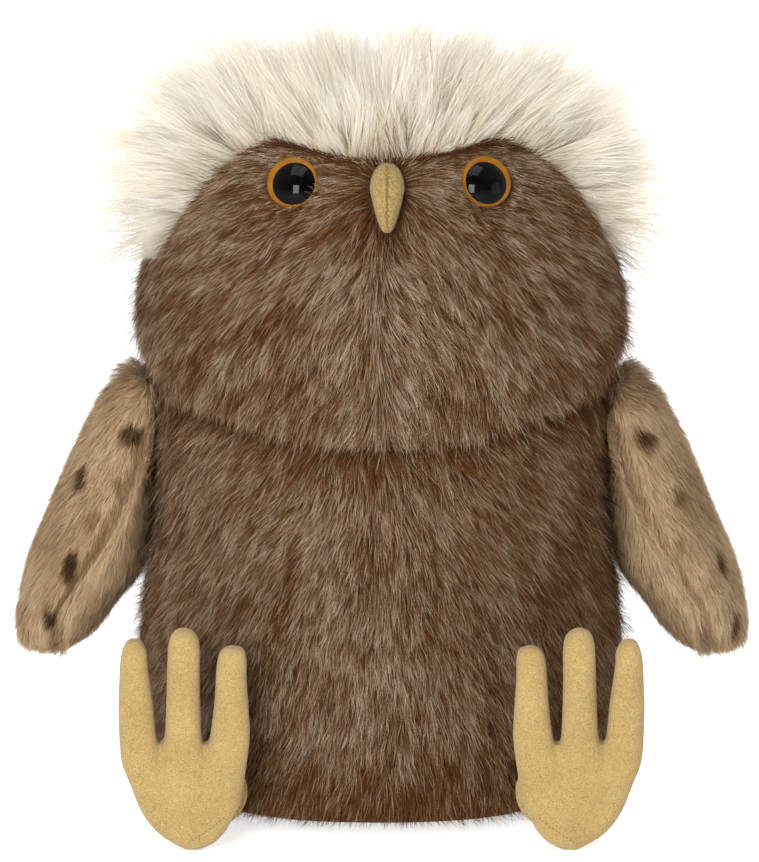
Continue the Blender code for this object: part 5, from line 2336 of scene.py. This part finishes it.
@dataclass
class Studio:
    """Floor, lights and camera.

    Attributes:
        target: Point that the camera looks at.
        distance: How far away the camera is.
        elevation: How far above the level it looks from.
        span: Height of the picture at the target.
        sensor: Width of the camera's sensor in millimetres.
        far: How far the camera sees.
        sky: Brightness of the surroundings.
        sky_front: Their brightness where the owl looks.
        ahead: Direction in which they are that dark.
        paper: Brightness of the floor's paper.
        glow: How much light it gives off.
        reach: How far the floor reaches to each side.
    """

    target: tuple = (-0.0007, 0.0, 0.1345)
    distance: float = 4.0
    elevation: float = math.radians(10)
    span: float = 0.3103
    sensor: float = 36.0
    far: float = 50.0
    sky: float = 0.58
    sky_front: float = 0.10
    ahead: tuple = (0.0, -0.98, 0.17)
    paper: float = 0.60
    glow: float = 0.70
    reach: float = 20.0

    def build(self) -> None:
        """Make the studio."""
        scene = bpy.context.scene
        self.add_floor()
        self.add_world(scene)
        for light in LIGHTS:
            self.add_area(light)
        camera = bpy.data.cameras.new("camera")
        camera.sensor_width = self.sensor
        camera.lens = self.sensor * self.distance / self.span
        camera.clip_end = self.far
        item = bpy.data.objects.new("camera", camera)
        scene.collection.objects.link(item)
        back = Vector((0, -math.cos(self.elevation), math.sin(self.elevation)))
        item.location = Vector(self.target) + back * self.distance
        item.rotation_euler = (-back).to_track_quat("-Z", "Y").to_euler()
        scene.camera = item
        scene.view_settings.view_transform = "Standard"

    def add_floor(self) -> None:
        """Plain white floor."""
        corners = self.reach * np.array([(-1, -1, 0), (1, -1, 0), (1, 1, 0), (-1, 1, 0)])
        floor = add_object("floor", corners, [np.array([[0, 1, 2, 3]])], smooth=False)
        nodes = Nodes("floor_paper")
        nodes.shader.inputs["Base Color"].default_value = (self.paper, self.paper, self.paper, 1)
        nodes.shader.inputs["Emission Color"].default_value = (1, 1, 1, 1)
        nodes.shader.inputs["Emission Strength"].default_value = self.glow
        nodes.surface(0.9, 0.1)
        floor.data.materials.append(nodes.material)

    def add_world(self, scene: bpy.types.Scene) -> None:
        """Even white surroundings.

        Args:
            scene: The scene.
        """
        world = bpy.data.worlds.new("white")
        world.use_nodes = True
        tree = world.node_tree
        place = tree.nodes.new("ShaderNodeTexCoord")
        front = tree.nodes.new("ShaderNodeVectorMath")
        front.operation = "DOT_PRODUCT"
        front.inputs[1].default_value = self.ahead
        upward = tree.nodes.new("ShaderNodeSeparateXYZ")
        tree.links.new(place.outputs["Generated"], front.inputs[0])
        tree.links.new(place.outputs["Generated"], upward.inputs["Vector"])
        shades = []
        ramps = (
            (front.outputs["Value"], (0.35, self.sky), (0.80, self.sky_front)),
            (upward.outputs["Z"], (0.06, 1.0), (0.13, 0.0)),
        )
        for source, first, second in ramps:
            band = tree.nodes.new("ShaderNodeValToRGB")
            for element, (position, shade) in zip(band.color_ramp.elements, (first, second)):
                element.position = position
                element.color = (shade, shade, shade, 1)
            tree.links.new(source, band.inputs["Fac"])
            shades.append(band.outputs["Color"])
        both = tree.nodes.new("ShaderNodeMix")
        both.data_type = "RGBA"
        both.blend_type = "LIGHTEN"
        both.inputs[MIX_SHARE].default_value = 1.0
        tree.links.new(shades[0], both.inputs[MIX_FIRST])
        tree.links.new(shades[1], both.inputs[MIX_SECOND])
        background = tree.nodes["Background"]
        tree.links.new(both.outputs[MIX_RESULT], background.inputs["Color"])
        background.inputs["Strength"].default_value = 1.0
        scene.world = world

    def add_area(self, soft: SoftLight) -> None:
        """Put up a soft light.

        Args:
            soft: The light's sizes and place.
        """
        light = bpy.data.lights.new(soft.name, "AREA")
        light.shape = "RECTANGLE"
        light.size, light.size_y = soft.size
        light.energy = soft.power
        item = bpy.data.objects.new(soft.name, light)
        bpy.context.scene.collection.objects.link(item)
        item.location = soft.place
        aim = Vector(self.target) - Vector(soft.place)
        item.rotation_euler = aim.to_track_quat("-Z", "Y").to_euler()


def main() -> None:
    """Dress the owl and set up the studio."""
    logging.basicConfig(level=logging.INFO, format="%(message)s")
    Studio().build()
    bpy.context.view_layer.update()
    wardrobe = Wardrobe()
    torso = Torso()
    torso.build(wardrobe)
    head = Head()
    head.build(wardrobe)
    Eyes().build(head, wardrobe)
    Beak().build(head, wardrobe)
    for side in Side:
        Wing(side, torso).build(wardrobe)
        Leg(side).build(wardrobe)


if __name__ == "__main__":
    main()
